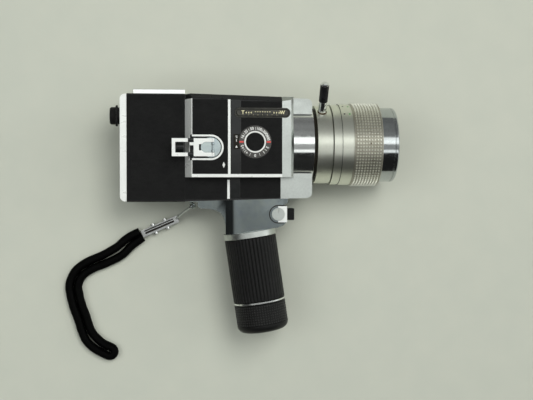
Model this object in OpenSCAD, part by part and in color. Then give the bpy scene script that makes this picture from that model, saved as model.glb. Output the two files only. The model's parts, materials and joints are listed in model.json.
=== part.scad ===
// Super 8 movie camera with a pistol grip, lying on its left side.
// The modules work in a camera frame: x from the rear face forwards, y from
// the underside upwards, z from the table to the camera's right side.
// place() moves that frame so that the origin is under the middle of the camera.

/* [Body] */
// Height of the body from underside to top
body_h = 85; // [84:0.5:88]
// Distance from the table to the left face of the body
body_z0 = 15; // [15:0.5:16]
// Distance from the table to the right face of the body
body_z1 = 54; // [54:0.5:55]
// Distance from the table to the face of the raised right housing
housing_z = 66; // [66:0.5:67]
// Depth of the rear bezel
bezel_x = 5.3; // [4.5:0.1:6]
// Where the body starts to taper towards the lens
taper_x = 51; // [45:1:56]

/* [Lens] */
// Height of the lens axis above the underside
axis_y = 46; // [46:0.5:47]
// Distance from the table to the lens axis
axis_z = 35; // [35:0.5:35.5]
// Radius of the polished collar
collar_r = 30.4; // [30:0.1:30.8]
// Radius of the zoom ring
zoom_r = 31.8; // [31:0.1:32.5]
// Radius of the focus ring
focus_r = 34.3; // [33.5:0.1:34.8]
// Radius of the chrome front ring
front_r = 30.5; // [29.5:0.1:31]
// Radius of the filter thread
filter_r = 27.5; // [26:0.5:27.5]
// Angle of the zoom lever from straight up, towards the right side
lever_angle = 36; // [30:1:45]

/* [Grip] */
// Radius of the grip
grip_r = 21; // [20.5:0.5:22]
// Forward rake of the grip in degrees
grip_rake = 8.3; // [6:0.1:10]
// Length of the ribbed sleeve
sleeve_l = 52; // [50:1:54]
// Length from the top of the sleeve to the bottom of the battery cap
grip_l = 77.2; // [76:0.2:80]

/* [Controls] */
// Radius of the exposure dial
dial_r = 12.8; // [12:0.1:13.2]
// Length of the zoom rocker's bezel
rocker_l = 44; // [42:0.5:44]
// Radius of the round end of the crank bezel
crank_r = 10; // [9.8:0.1:10.2]

/* [Strap] */
// Diameter of the rolled leather strap
strap_d = 7.2; // [6.8:0.1:7.3]
// Distance between the middles of its two strands
strap_gap = 7.6; // [7.5:0.1:8]

/* [Hidden] */
$fn = 96;
eps = 0.5;
run_fit = 0.05;

// Middle of the camera in the camera frame, straps left out
middle = [106.95, -6.02, 0];

// Body
wall = 2.5;
front_x = 127.4;
plate_x = 152.8;
low_slope = 0.026;
high_slope = 0.03;
roof = 2;
housing_x = 51.2;
housing_slant = 5;
housing_y = 19.2;
trim_h = 2.5;
trim_t = 0.5;
bevel = 5;
// Distance of the sheets from the top edge, clear of its bevel
sheet_inset = 3.9;
seam_x = 84.7;
seam_w = 2;
band_x1 = 94.9;
skin = 0.4;

// Film chamber, film gate and the floor between chamber and mechanism
chamber = [8, 5, 70, 75];
floor_z0 = 42;
floor_z1 = 44;
gate_x0 = 78;
gate_x1 = 82;

// Viewfinder line
finder_y = 67.9;
finder_z = 47.5;
finder_r = 4.3;

// Lens lengths along the axis
core_r = 22;
core_bore = 20;
web_x = 136.7;
collar_x1 = 153.6;
zoom_x0 = 156;
zoom_x1 = 168.3;
index_x0 = 168.6;
index_x1 = 175.6;
focus_x0 = 185.2;
focus_x1 = 208.1;
lens_x1 = 221.8;
lever_x = 160.9;

// Gears
gear_module = 0.6;
zoom_teeth = 84;
pinion_teeth = 12;
shutter_teeth = 36;
crank_teeth = 31;
takeup_teeth = 60;
zoom_pinion_angle = 25;
zoom_pinion_yz = [
    axis_y + pitch_r(zoom_teeth + pinion_teeth) * cos(zoom_pinion_angle),
    axis_z - pitch_r(zoom_teeth + pinion_teeth) * sin(zoom_pinion_angle)
];
shutter_yz = [34, 42];
motor_angle = 106;
motor_yz = [
    shutter_yz[0] + pitch_r(shutter_teeth + pinion_teeth) * cos(motor_angle),
    shutter_yz[1] + pitch_r(shutter_teeth + pinion_teeth) * sin(motor_angle)
];

// Crank, dial and rocker
crank_xy = [71.3, 42.5];
takeup_xy = [crank_xy[0] - pitch_r(crank_teeth + takeup_teeth), crank_xy[1]];
dial_xy = [106, 46.9];
rocker_xy = [111.9, 69.8];
rocker_w = 7.7;
arm_z = 67.1;
arm_t = 1.6;
arm_hinge = [72.9, 67.9];
knob_hinge = [50.2, 67.9];

// Film door
door_hinge = [7.6, 16.2];
latch_xy = [74.5, 42.5];

// Grip and trigger
grip_top = [104.3, -29.4];
collar_t = 5;
cell_r = 7.1;
cell_pitch = 10.4;
mount_hz = 15;
lock_xy = [125.9, -10.6];

// Wrist strap: eye, link, clip and the middle line of the doubled strap
lug = [57.3, -3.6, 35];
link_end = [45, -14, 8.5];
link_half_w = 2.4;
wire_r = 0.8;
lug_post = [56.3, 35.8];
clip_top = [44.5, -16];
clip_end = [15.5, -28.4];
clip_angle = atan2(clip_end[1] - clip_top[1], clip_end[0] - clip_top[0]);
clip_l = norm(clip_end - clip_top);
strap_z = 3.8;
strap_line = [
    [20, -26.5], [15, -28.8], [5, -35], [-4, -43], [-16, -49.5], [-28, -54.5], [-37, -61], [-41.5, -70.5],
    [-40.5, -80.5], [-38, -90], [-34.5, -99.5], [-32, -108], [-28, -116], [-20.5, -123], [-12, -127.5]
];

// ---------- rules and shared shapes ----------

function pitch_r(teeth) = teeth * gear_module / 2;
function low_edge(x) = x < taper_x ? 0 : (x - taper_x) * low_slope;
function high_edge(x) = x < taper_x ? body_h : body_h - (x - taper_x) * high_slope;
function slant_x(z) = housing_x + (z - body_z1) * housing_slant / (housing_z - body_z1);

// Side outline of the body between two stations, drawn in by inset
function side_outline(x0, x1, inset = 0) = let (bend = x0 < taper_x && taper_x < x1)
    concat(
        [[x0, low_edge(x0) + inset]],
        bend ? [[taper_x, inset]] : [],
        [[x1, low_edge(x1) + inset], [x1, high_edge(x1) - inset]],
        bend ? [[taper_x, body_h - inset]] : [],
        [[x0, high_edge(x0) - inset]]
    );

// Straight-flanked teeth with backlash, one tooth on the angle phase
function gear_outline(teeth, phase = 0) = [
    for (tooth = [0:teeth - 1], corner = [0:3])
        let (
            angle = phase + 360 / teeth * (tooth + [-0.27, -0.13, 0.13, 0.27][corner]),
            r = pitch_r(teeth) + gear_module * (corner == 1 || corner == 2 ? 0.9 : -1.1)
        )
        [r * cos(angle), r * sin(angle)]
];

module place() {
    translate([-middle[0], -middle[1], -middle[2]]) children();
}

module slab(x0, x1, z0, z1, inset = 0) {
    translate([0, 0, z0]) linear_extrude(z1 - z0) polygon(side_outline(x0, x1, inset));
}

// Turns local Z to the lens direction, with local X towards the top of the camera
module along_x(x, y, z) {
    translate([x, y, z]) rotate([90, 0, 90]) children();
}

module rod_x(x0, x1, y, z, r) {
    along_x(x0, y, z) cylinder(h = x1 - x0, r = r);
}

module rod_y(x, y0, y1, z, r) {
    translate([x, y0, z]) rotate([-90, 0, 0]) cylinder(h = y1 - y0, r = r);
}

module ring(h, r, bore) {
    difference() {
        cylinder(h = h, r = r);
        translate([0, 0, -eps]) cylinder(h = h + 2 * eps, r = bore);
    }
}

// A ring about the lens axis
module lens_ring(x0, x1, r, bore) {
    along_x(x0, axis_y, axis_z) ring(x1 - x0, r, bore);
}

module block(x0, x1, y0, y1, z0, z1) {
    translate([x0, y0, z0]) cube([x1 - x0, y1 - y0, z1 - z0]);
}

// Flat bar with round ends, lying along X
module capsule(length, width, z0, z1) {
    straight = (length - width) / 2;
    translate([0, 0, z0]) linear_extrude(z1 - z0) {
        square([2 * straight, width], center = true);
        for (end = [-1, 1]) translate([end * straight, 0]) circle(d = width);
    }
}

// U outline that is open to the rear, for the crank's well and its bezel
module crank_u(r, z0, z1, rear_x) {
    translate([0, 0, z0]) linear_extrude(z1 - z0) {
        translate([crank_xy[0], crank_xy[1]]) circle(r = r);
        translate([rear_x, crank_xy[1] - r]) square([crank_xy[0] - rear_x, 2 * r]);
    }
}

// Turns local Z down the grip, with the top of the sleeve at 0
module grip_frame() {
    translate([grip_top[0], grip_top[1], axis_z]) rotate([90, 0, grip_rake]) children();
}

module grip_ring_solid(t0, t1, r, bore) {
    grip_frame() translate([0, 0, t0]) ring(t1 - t0, r, bore);
}

// Prism that follows the slanted rear end of the raised housing, from y0 to y1
module housing_prism(y0, y1, z0, z1, offset_x, x1) {
    translate([0, y1, 0]) rotate([90, 0, 0]) linear_extrude(y1 - y0)
        polygon([
            [slant_x(z0) + offset_x, z0], [x1, z0],
            [x1, z1], [slant_x(z1) + offset_x, z1]
        ]);
}

// What fills a square corner outside its rounding
module corner_waste(x, y, r, sx, sy, z0, z1) {
    translate([x, y, z0]) difference() {
        translate([sx > 0 ? 0 : -r - eps, sy > 0 ? 0 : -r - eps, 0])
            cube([r + eps, r + eps, z1 - z0]);
        translate([0, 0, -eps]) cylinder(h = z1 - z0 + 2 * eps, r = r);
    }
}

// ---------- casings ----------

module main_housing() {
    color("#242424") place() difference() {
        slab(bezel_x, front_x, body_z0, body_z1);
        // film chamber, and the rabbet that the door closes into
        block(chamber[0], gate_x0, chamber[1], chamber[1] + chamber[3], body_z0 - eps, floor_z0);
        block(bezel_x - eps, gate_x1 + 1.6, 2.6, 82.4, body_z0 - eps, body_z0 + 2.3);
        rod_y(door_hinge[0], 2.6, 82.4, door_hinge[1], 1.8);
        rod_y(door_hinge[0], 1.4, 83.6, door_hinge[1], 0.7);
        block(gate_x0 - eps, gate_x0 + 2.6, latch_xy[1] - 5.2, latch_xy[1] + 5.2, 17, 19.6);
        // mechanism space on the right of the floor
        slab(chamber[0], front_x - wall, floor_z1, body_z1 - roof, chamber[1]);
        block(54, front_x - wall, 22, 79, body_z1 - roof - eps, body_z1 + eps);
        // front compartment, open to the left housing
        slab(gate_x1, front_x - wall, body_z0 + wall, floor_z1 + eps, chamber[1]);
        slab(88, front_x - wall, body_z0 - eps, body_z0 + wall + eps, 8);
        // passages
        rod_x(bezel_x - eps, front_x + eps, finder_y, finder_z, finder_r);
        rod_x(gate_x0 - eps, gate_x1 + eps, axis_y, axis_z, 6);
        rod_x(gate_x0 + 1.5, gate_x1 + eps, shutter_yz[0], shutter_yz[1], 1.5 + run_fit);
        block(front_x - wall - eps, front_x + eps, 20, 79, 17, 52);
        translate([takeup_xy[0], takeup_xy[1], floor_z0 - eps]) cylinder(h = 3, r = 3 + run_fit);
        translate([crank_xy[0], crank_xy[1], floor_z0 + 0.8]) cylinder(h = 3, r = 2.5 + run_fit);
        translate([30, 0, axis_z]) rotate([-90, 0, 0]) translate([0, 0, -eps]) cylinder(h = 4, r = 5);
    }
}

module rear_bezel() {
    corner = 4;
    color("#d8dad6") place() difference() {
        block(0, bezel_x, 0, body_h, body_z0, body_z1);
        corner_waste(corner, corner, corner, -1, -1, body_z0 - eps, body_z1 + eps);
        corner_waste(corner, body_h - corner, corner, -1, 1, body_z0 - eps, body_z1 + eps);
        rod_x(-eps, bezel_x + eps, finder_y, finder_z, finder_r);
        // shallow panel field on the rear face
        block(-eps, 0.8, 6, 58, body_z0 + 4, body_z1 - 4);
    }
}

// Raised housing on the right side that carries the controls
module side_housing() {
    color("#1c1c1c") place() difference() {
        intersection() {
            union() {
                difference() {
                    housing_prism(housing_y, body_h, body_z1, housing_z, trim_t, front_x);
                    housing_prism(22, 79, body_z1 - eps, housing_z - roof, 3, front_x - roof);
                }
                crank_u(crank_r + 1.5, 60, housing_z, 60);
            }
            slab(housing_x, front_x, body_z1, housing_z);
        }
        // bevel along the top edge
        translate([housing_x, high_edge(taper_x), housing_z]) rotate([0, 0, -atan(high_slope)])
            rotate([45, 0, 0]) cube([2 * front_x, bevel, bevel], center = true);
        // rebate for the bright trim under the housing
        block(housing_x - eps, front_x + eps, housing_y - eps, housing_y + trim_h, 62, housing_z + eps);
        crank_u(crank_r, 61.9, housing_z + eps, housing_x - eps);
        translate([crank_xy[0], crank_xy[1], 59]) cylinder(h = 4, r = 2.5 + run_fit);
        translate([dial_xy[0], dial_xy[1], 60]) cylinder(h = 7, r = 3 + run_fit);
        translate([rocker_xy[0], rocker_xy[1], 0]) capsule(rocker_l, rocker_w, 60, housing_z + eps);
    }
}

// Shallow housing on the left side, which the camera lies on
module left_housing() {
    color("#1e1e1e") place() difference() {
        slab(85.4, front_x, 0, body_z0, 1.5);
        slab(88, front_x - roof, roof, body_z0 + eps, 4);
        for (side = [0, 1])
            translate([85.4, side * body_h, 0]) rotate([45, 0, 0])
                cube([100, side ? 5 : 7, side ? 7 : 5], center = true);
        for (y = [12, 73], x = [91, 122]) translate([x, y, -eps]) cylinder(h = 1.5, r = 2.2);
    }
}

// Sheet on the slanted rear face of the raised housing
module slanted_sheet(y0, y1, z0, z1) {
    translate([0, y1, 0]) rotate([90, 0, 0]) linear_extrude(y1 - y0)
        polygon([
            [slant_x(z0), z0], [slant_x(z0) + trim_t, z0],
            [slant_x(z1) + trim_t, z1], [slant_x(z1), z1]
        ]);
}

// Bright strips around the raised housing
module side_trim() {
    top_y = high_edge(housing_x) - 4.3;
    trim_z = housing_z + 0.3;
    color("#e4e6e0") place() {
        // slanted strip at the rear, cut away where the crank's well runs out
        slanted_sheet(housing_y, top_y, body_z1, 61.9);
        slanted_sheet(housing_y, crank_xy[1] - crank_r, 61.9, trim_z);
        slanted_sheet(crank_xy[1] + crank_r, top_y, 61.9, trim_z);
        // strip along the lower edge
        housing_prism(housing_y, housing_y + trim_h, 62, trim_z, 0.5, front_x);
        // upright strip over the housing and the body below it
        block(seam_x, seam_x + seam_w, housing_y + trim_h, high_edge(seam_x) - sheet_inset, housing_z, housing_z + 0.5);
        block(seam_x, seam_x + seam_w, 2, housing_y - 2, body_z1, body_z1 + 0.6);
    }
}

module crank_bezel() {
    color("#f0f0ee") place() difference() {
        crank_u(crank_r, 61.9, housing_z + 0.8, slant_x(61.9) + 2);
        crank_u(crank_r - 1.55, 61, housing_z + 2, housing_x);
    }
}

// Gloss black band and the index tab beside the dial
module band_panel() {
    top_y = high_edge(band_x1) - sheet_inset;
    color("#0c0c0d") place() {
        difference() {
            block(seam_x + seam_w, band_x1, housing_y + trim_h, top_y, housing_z, housing_z + 0.3);
            translate([rocker_xy[0], rocker_xy[1], 0])
                capsule(rocker_l + 0.4, rocker_w + 0.4, housing_z - eps, housing_z + 1);
        }
        block(seam_x + seam_w, band_x1, 2.2, housing_y - 2, body_z1, body_z1 + 0.3);
        block(89.6, 93, dial_xy[1] - 5.7, dial_xy[1] + 5.7, housing_z + 0.3, housing_z + 0.8);
    }
}

// Leather-grained sheets on the sides, top and underside
module leather_coverings() {
    skin_top = housing_z + skin;
    color("#1a1a1a") place() {
        slab(bezel_x + 0.1, housing_x - 0.1, body_z1, body_z1 + skin, 0.6);
        block(housing_x, seam_x, 1.6, housing_y - 0.4, body_z1, body_z1 + skin);
        block(band_x1, front_x, 2.6, housing_y - 0.4, body_z1, body_z1 + skin);
        difference() {
            block(slant_x(housing_z) + trim_t + 0.4, seam_x, housing_y + trim_h, high_edge(seam_x) - sheet_inset, housing_z, skin_top);
            crank_u(crank_r, housing_z - eps, skin_top + eps, housing_x);
        }
        difference() {
            block(band_x1, front_x, housing_y + trim_h, high_edge(front_x) - sheet_inset, housing_z, skin_top);
            translate([dial_xy[0], dial_xy[1], housing_z - eps]) cylinder(h = 2, r = dial_r + 0.4);
            translate([rocker_xy[0], rocker_xy[1], 0])
                capsule(rocker_l, rocker_w, housing_z - eps, skin_top + eps);
        }
        block(bezel_x + 0.1, taper_x, body_h, body_h + skin, body_z0 + 1, body_z1 - 0.6);
        difference() {
            block(bezel_x + 0.1, taper_x, -skin, 0, body_z0 + 1, body_z1 - 0.6);
            rod_y(30, -2, 2, axis_z, 6);
        }
    }
}

// Satin front casting with the slanted strips that close both raised housings
module front_plate() {
    corner = 4;
    color("#b9beb8") place() difference() {
        union() {
            slab(front_x, plate_x, body_z0, body_z1);
            translate([0, high_edge(front_x), 0]) rotate([90, 0, 0])
                linear_extrude(high_edge(front_x) - housing_y)
                polygon([[front_x, body_z1], [web_x, body_z1], [web_x, 62.8], [web_x - 2, 64.8], [front_x, housing_z]]);
            translate([0, high_edge(front_x) - 1, 0]) rotate([90, 0, 0])
                linear_extrude(high_edge(front_x) - low_edge(front_x) - 2)
                polygon([[front_x, 0.4], [front_x + 4, 1], [web_x, 6], [web_x, body_z0], [front_x, body_z0]]);
        }
        for (top = [0, 1])
            corner_waste(plate_x - corner, top ? high_edge(plate_x) - corner : low_edge(plate_x) + corner,
                corner, 1, top ? 1 : -1, body_z0 - eps, body_z1 + eps);
        // hollow behind the web, lens openings and the passage of the zoom gear
        block(front_x - eps, web_x - roof, 22, 78, 6, 60);
        rod_x(web_x, plate_x + eps, axis_y, axis_z, collar_r);
        rod_x(web_x - roof - eps, web_x + eps, axis_y, axis_z, core_r);
        rod_x(web_x - roof - eps, 150, zoom_pinion_yz[0], zoom_pinion_yz[1], 5);
        // the bevel of the raised housing runs on
        translate([front_x, high_edge(front_x), housing_z]) rotate([0, 0, -atan(high_slope)])
            rotate([45, 0, 0]) cube([40, bevel, bevel], center = true);
        // seat of the rocker's bezel
        translate([rocker_xy[0], rocker_xy[1], 0]) capsule(rocker_l, rocker_w, 60, 70);
    }
}

module lens_collar() {
    color("#d9dde0") place() difference() {
        lens_ring(web_x, collar_x1, collar_r, 28.6);
        rod_x(web_x - eps, 151, zoom_pinion_yz[0], zoom_pinion_yz[1], 4.6);
    }
}

// Standard shoe: two rails that a 18.6 mm foot slides under
module accessory_shoe() {
    slot_w = 18.7;
    color("#e2e4e0") place() difference() {
        block(10.1, 51.3, body_h + skin, 89.3, axis_z - 12.5, axis_z + 12.5);
        block(10, 52, 86.2, 88.3, axis_z - slot_w / 2, axis_z + slot_w / 2);
        block(10, 52, 88, 90, axis_z - 6.5, axis_z + 6.5);
    }
}

module tripod_bush() {
    color("#b0b3ae") place() translate([30, 0, axis_z]) rotate([-90, 0, 0]) difference() {
        translate([0, 0, -skin]) cylinder(h = 3.5 + skin, r = 5);
        translate([0, 0, -2]) cylinder(h = 8, r = 3.0);
    }
}

module housing_screws() {
    color("#9a9c98") place()
        for (y = [12, 73], x = [91, 122]) translate([x, y, 0.3]) difference() {
            cylinder(h = 0.7, r = 2.2);
            translate([-3, -0.3, -eps]) cube([6, 0.6, 0.8]);
        }
}

// ---------- viewfinder ----------

module viewfinder_tube() {
    color("#202020") place() difference() {
        union() {
            rod_x(-7, 122, finder_y, finder_z, finder_r);
            rod_x(-1.6, 0, finder_y, finder_z, 6.6);
        }
        rod_x(-9, 123, finder_y, finder_z, 3.3);
    }
}

module diopter_ring() {
    color("#161616") place() along_x(-3.4, finder_y, finder_z) ring(1.6, 8.35, finder_r + run_fit);
}

module eyecup() {
    color("#101010") place() difference() {
        union() {
            rod_x(-7.9, -7.3, finder_y, finder_z, 6.4);
            rod_x(-7.3, -3.7, finder_y, finder_z, 6.9);
        }
        rod_x(-7, -3, finder_y, finder_z, finder_r);
        along_x(-7.91, finder_y, finder_z) cylinder(h = 1.11, r1 = 5.8, r2 = 4.2);
    }
}

module eyepiece_lens() {
    color("#9fb4c4") place() rod_x(-6, -4, finder_y, finder_z, 3.3);
}

// Beam splitter on the lens axis and the prism that turns the light back to the eyepiece
module finder_prisms() {
    turn = atan2(finder_z - axis_z, finder_y - axis_y);
    color("#a9c2cf") place() {
        translate([127, axis_y, axis_z]) rotate([turn, 0, 0]) cube([12, 12, 12], center = true);
        translate([127, finder_y, finder_z]) rotate([turn, 0, 0]) cube([10, 6, 6], center = true);
    }
}

// ---------- film transport ----------

module film_gate() {
    color("#c2c6c8") place() difference() {
        block(76.6, gate_x0, 30, 62, 22, 41);
        block(76, 79, axis_y - 2, axis_y + 2, axis_z - 2.8, axis_z + 2.8);
        block(76, 79, axis_y - 12, axis_y - 4, axis_z + 3, axis_z + 4.2);
    }
}

module pulldown_claw() {
    claw_z = axis_z + 6.5;
    color("#8d9296") place() block(82.4, 83.2, axis_y - 8.4, axis_y - 1.4, claw_z - 2.1, claw_z + 2.1);
}

// Half-disc shutter, its shaft and its gear
module shutter() {
    color("#2a2c2e") place() {
        along_x(83.8, shutter_yz[0], shutter_yz[1]) difference() {
            cylinder(h = 0.8, r = 15.5);
            translate([0, -18, -1]) cube([18, 18, 3]);
        }
        rod_x(79.8, 93.4, shutter_yz[0], shutter_yz[1], 1.5);
        along_x(90, shutter_yz[0], shutter_yz[1]) linear_extrude(2.5)
            polygon(gear_outline(shutter_teeth, motor_angle));
    }
}

module drive_motor() {
    color("#7d8184") place() difference() {
        union() {
            rod_x(94.5, 119, motor_yz[0], motor_yz[1], 7.3);
            block(98, 116, 22, motor_yz[0], motor_yz[1] - 3, motor_yz[1] + 3);
        }
        rod_x(94, 100.5, motor_yz[0], motor_yz[1], 1 + run_fit);
    }
}

module motor_pinion() {
    color("#c9a94e") place() {
        rod_x(89.8, 100, motor_yz[0], motor_yz[1], 1);
        along_x(90, motor_yz[0], motor_yz[1]) linear_extrude(3)
            polygon(gear_outline(pinion_teeth, motor_angle + 180 + 180 / pinion_teeth));
    }
}

// Spindle that turns the cartridge's take-up core, with its gear
module takeup_spindle() {
    color("#d8d8d4") place() translate([takeup_xy[0], takeup_xy[1], 0]) {
        translate([0, 0, 33]) cylinder(h = 14, r = 3);
        for (wing = [0:2]) rotate([0, 0, 120 * wing]) translate([2.4, -0.6, 33]) cube([2.2, 1.2, 7]);
        translate([0, 0, 44.8]) linear_extrude(2) difference() {
            polygon(gear_outline(takeup_teeth));
            for (hole = [0:5]) rotate(60 * hole) translate([11, 0]) circle(r = 3.2);
        }
    }
}

module circuit_board() {
    color("#2f5a3a") place() {
        block(10, 40, 8, 58, 48.6, 50);
        block(14, 24, 14, 26, 50, 51.6);
        block(28, 34, 36, 42, 50, 51.6);
        for (y = [10, 54]) translate([12, y, floor_z1]) cylinder(h = 48.6 - floor_z1, r = 1.4);
    }
}

// ---------- lens ----------

module lens_core() {
    color("#3a3c3e") place() lens_ring(web_x - roof, 204, core_r, core_bore);
}

module zoom_motor() {
    yz = zoom_pinion_yz;
    color("#85898c") place() difference() {
        union() {
            rod_x(106, 134.7, yz[0], yz[1], 5.4);
            rod_x(132.7, 134.7, yz[0], yz[1], 5.6);
        }
        rod_x(126, 136, yz[0], yz[1], 1 + run_fit);
    }
}

module zoom_pinion() {
    yz = zoom_pinion_yz;
    color("#c9a94e") place() {
        rod_x(127, 147.5, yz[0], yz[1], 1);
        along_x(142.5, yz[0], yz[1]) linear_extrude(5)
            polygon(gear_outline(pinion_teeth, 180 - zoom_pinion_angle + 180 / pinion_teeth));
    }
}

// Zoom ring: sleeve on the core, gear inside the collar and the visible satin ring
module zoom_ring() {
    color("#c6c9b8") place() {
        lens_ring(138, zoom_x1, 23.4, core_r + run_fit);
        difference() {
            union() {
                lens_ring(154, zoom_x0, 29.3, 23.4);
                lens_ring(zoom_x0, zoom_x1, zoom_r, 23.4);
            }
            lens_ring(zoom_x0 + 2, zoom_x1 + eps, zoom_r - 2.4, 23.4);
        }
        along_x(143, axis_y, axis_z) linear_extrude(4) difference() {
            polygon(gear_outline(zoom_teeth, -zoom_pinion_angle));
            circle(r = 23.4);
        }
    }
}

module lever_frame() {
    translate([lever_x, axis_y, axis_z]) rotate([lever_angle - 90, 0, 0]) children();
}

module zoom_lever() {
    color("#d5d8da") place() difference() {
        lever_frame() {
            translate([0, 0, zoom_r - 1]) cylinder(h = 10.6, r1 = 3.4, r2 = 2.9);
            translate([0, 0, zoom_r + 9]) cylinder(h = 17.4, r = 1.6);
        }
        lens_ring(zoom_x0 - 2, zoom_x1 + 2, zoom_r, 10);
    }
}

module lever_knob() {
    color("#1a1a1a") place() lever_frame() translate([0, 0, zoom_r + 9.6]) difference() {
        union() {
            cylinder(h = 15.4, r = 3.5);
            translate([0, 0, 15.4]) cylinder(h = 1.2, r1 = 3.5, r2 = 2.9);
        }
        translate([0, 0, -eps]) cylinder(h = 17.6, r = 1.6);
    }
}

// Fixed rings between zoom and focus, with a seam where they meet
module index_ring() {
    color("#c6c9b8") place() {
        lens_ring(index_x0, index_x0 + 2, 32.7, core_r);
        lens_ring(index_x0 + 2, index_x1, 32.7, 30.4);
        lens_ring(index_x1, focus_x0 - 0.3, 33.1, 30.4);
        lens_ring(focus_x0 - 2.3, focus_x0 - 0.3, 30.4, core_r);
    }
}

module focus_ring() {
    color("#a9ac9f") place() {
        lens_ring(focus_x0, focus_x1, focus_r, 31.6);
        lens_ring(focus_x0 + 6, 203, 31.6, 29.5);
        lens_ring(200, 203, 29.5, core_r + run_fit);
    }
}

module front_ring() {
    color("#8f9698") place() difference() {
        union() {
            lens_ring(203, lens_x1 - 1, front_r, 24.5);
            along_x(lens_x1 - 1, axis_y, axis_z) difference() {
                cylinder(h = 1, r1 = front_r, r2 = front_r - 0.8);
                translate([0, 0, -eps]) cylinder(h = 3, r = 24.5);
            }
        }
        rod_x(206, 214, axis_y, axis_z, 26.5);
        rod_x(214, lens_x1 + eps, axis_y, axis_z, filter_r);
        // groove near the front edge
        lens_ring(218.4, 219.2, front_r + 2, front_r - 0.5);
    }
}

module front_element() {
    bulge = 60;
    color("#7f98a6") place() intersection() {
        rod_x(206, 214, axis_y, axis_z, 26.5);
        translate([213.8 - bulge, axis_y, axis_z]) sphere(r = bulge);
    }
}

module zoom_lens() {
    color("#8aa2ae") place() difference() {
        rod_x(158, 170, axis_y, axis_z, core_bore - run_fit);
        translate([170 + 52, axis_y, axis_z]) sphere(r = 56);
    }
}

module relay_tube() {
    color("#303234") place() difference() {
        union() {
            lens_ring(95, 134.7, 11, 9.2);
            lens_ring(132.7, 134.7, 24, 9.2);
        }
        // windows for the beam splitter
        translate([127, axis_y, axis_z]) rotate([atan2(finder_z - axis_z, finder_y - axis_y), 0, 0])
            cube([12.6, 60, 7], center = true);
        rod_x(118, 136, zoom_pinion_yz[0], zoom_pinion_yz[1], 6);
    }
}

// ---------- film door ----------

module film_door() {
    z0 = body_z0;
    color("#222222") place() difference() {
        union() {
            block(9.6, gate_x1 + 1.3, 2.9, 82.1, z0, z0 + 2);
            for (y = [8, 48]) {
                rod_y(door_hinge[0], y, y + 28, door_hinge[1], 1.3);
                block(door_hinge[0], 10, y, y + 28, z0, z0 + 1.6);
            }
        }
        rod_y(door_hinge[0], 0, body_h, door_hinge[1], 0.7 + run_fit);
        translate([latch_xy[0], latch_xy[1], z0 - 1]) cylinder(h = 4, r = 2 + run_fit);
        // window that shows whether a cartridge is loaded
        block(30, 46, 26, 32, z0 - eps, z0 + 3);
    }
}

module door_latch() {
    color("#d0d2ce") place() translate([latch_xy[0], latch_xy[1], 0]) {
        translate([0, 0, body_z0 - 1.6]) difference() {
            cylinder(h = 1.3, r = 5.5);
            for (side = [-1, 1]) translate([side * 4.4, 0, -eps]) cube([4, 20, 1.2], center = true);
        }
        translate([0, 0, body_z0 - 0.4]) cylinder(h = 4.4, r = 2);
        translate([-2, -2, body_z0 + 2.4]) cube([7.6, 4, 1.6]);
    }
}

module door_hinge_pin() {
    color("#b8bab6") place() rod_y(door_hinge[0], 1.4, 83.6, door_hinge[1], 0.7);
}

// ---------- controls ----------

module rocker_bezel() {
    color("#2b2b2a") place() translate([rocker_xy[0], rocker_xy[1], 0]) difference() {
        capsule(rocker_l, rocker_w, 60, housing_z + 0.5);
        capsule(rocker_l - 2.2, rocker_w - 1.9, 61.5, housing_z + 1);
    }
}

// Rocker that runs the zoom motor either way
module zoom_rocker() {
    color("#4a4a44") place() translate([rocker_xy[0], rocker_xy[1], 0]) {
        capsule(rocker_l - 3, rocker_w - 2.6, 64.4, 66.9);
        rotate([90, 0, 0]) translate([0, 63.6, -2]) cylinder(h = 4, r = 1);
        translate([-1, -2, 63.6]) cube([2, 4, 1]);
    }
}

// Film speed and exposure correction dial
module exposure_dial() {
    color("#8e8e8a") place() translate([dial_xy[0], dial_xy[1], 0]) {
        translate([0, 0, housing_z + 0.3]) cylinder(h = 0.5, r = dial_r);
        translate([0, 0, housing_z + 0.8]) cylinder(h = 0.2, r = 8.6);
        translate([0, 0, 61]) cylinder(h = 6, r = 3);
    }
}

// Crank hub with its shaft and the gear that turns the take-up backwards
module crank_hub() {
    color("#dfe2e4") place() {
        translate([crank_xy[0], crank_xy[1], 0]) {
            translate([0, 0, 62.2]) cylinder(h = 4.2, r = 7.9);
            translate([0, 0, 43]) cylinder(h = 20, r = 2.5);
            translate([0, 0, 44.8]) linear_extrude(2) polygon(gear_outline(crank_teeth));
        }
        // ears that hold the arm's hinge pin
        for (side = [-1, 1])
            rod_y(arm_hinge[0], crank_xy[1] + side * 3 - 0.9, crank_xy[1] + side * 3 + 0.9, arm_hinge[1], 1.1);
        block(arm_hinge[0] - 1.1, arm_hinge[0] + 1.1, crank_xy[1] - 3.9, crank_xy[1] + 3.9, 66.2, 66.7);
        for (side = [-1, 1])
            block(arm_hinge[0] - 1.1, arm_hinge[0] + 1.1, crank_xy[1] + side * 3 - 0.9,
                crank_xy[1] + side * 3 + 0.9, 66.2, arm_hinge[1]);
        rod_y(arm_hinge[0], crank_xy[1] - 6.5, crank_xy[1] + 6.5, arm_hinge[1], 0.6);
    }
}

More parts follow.
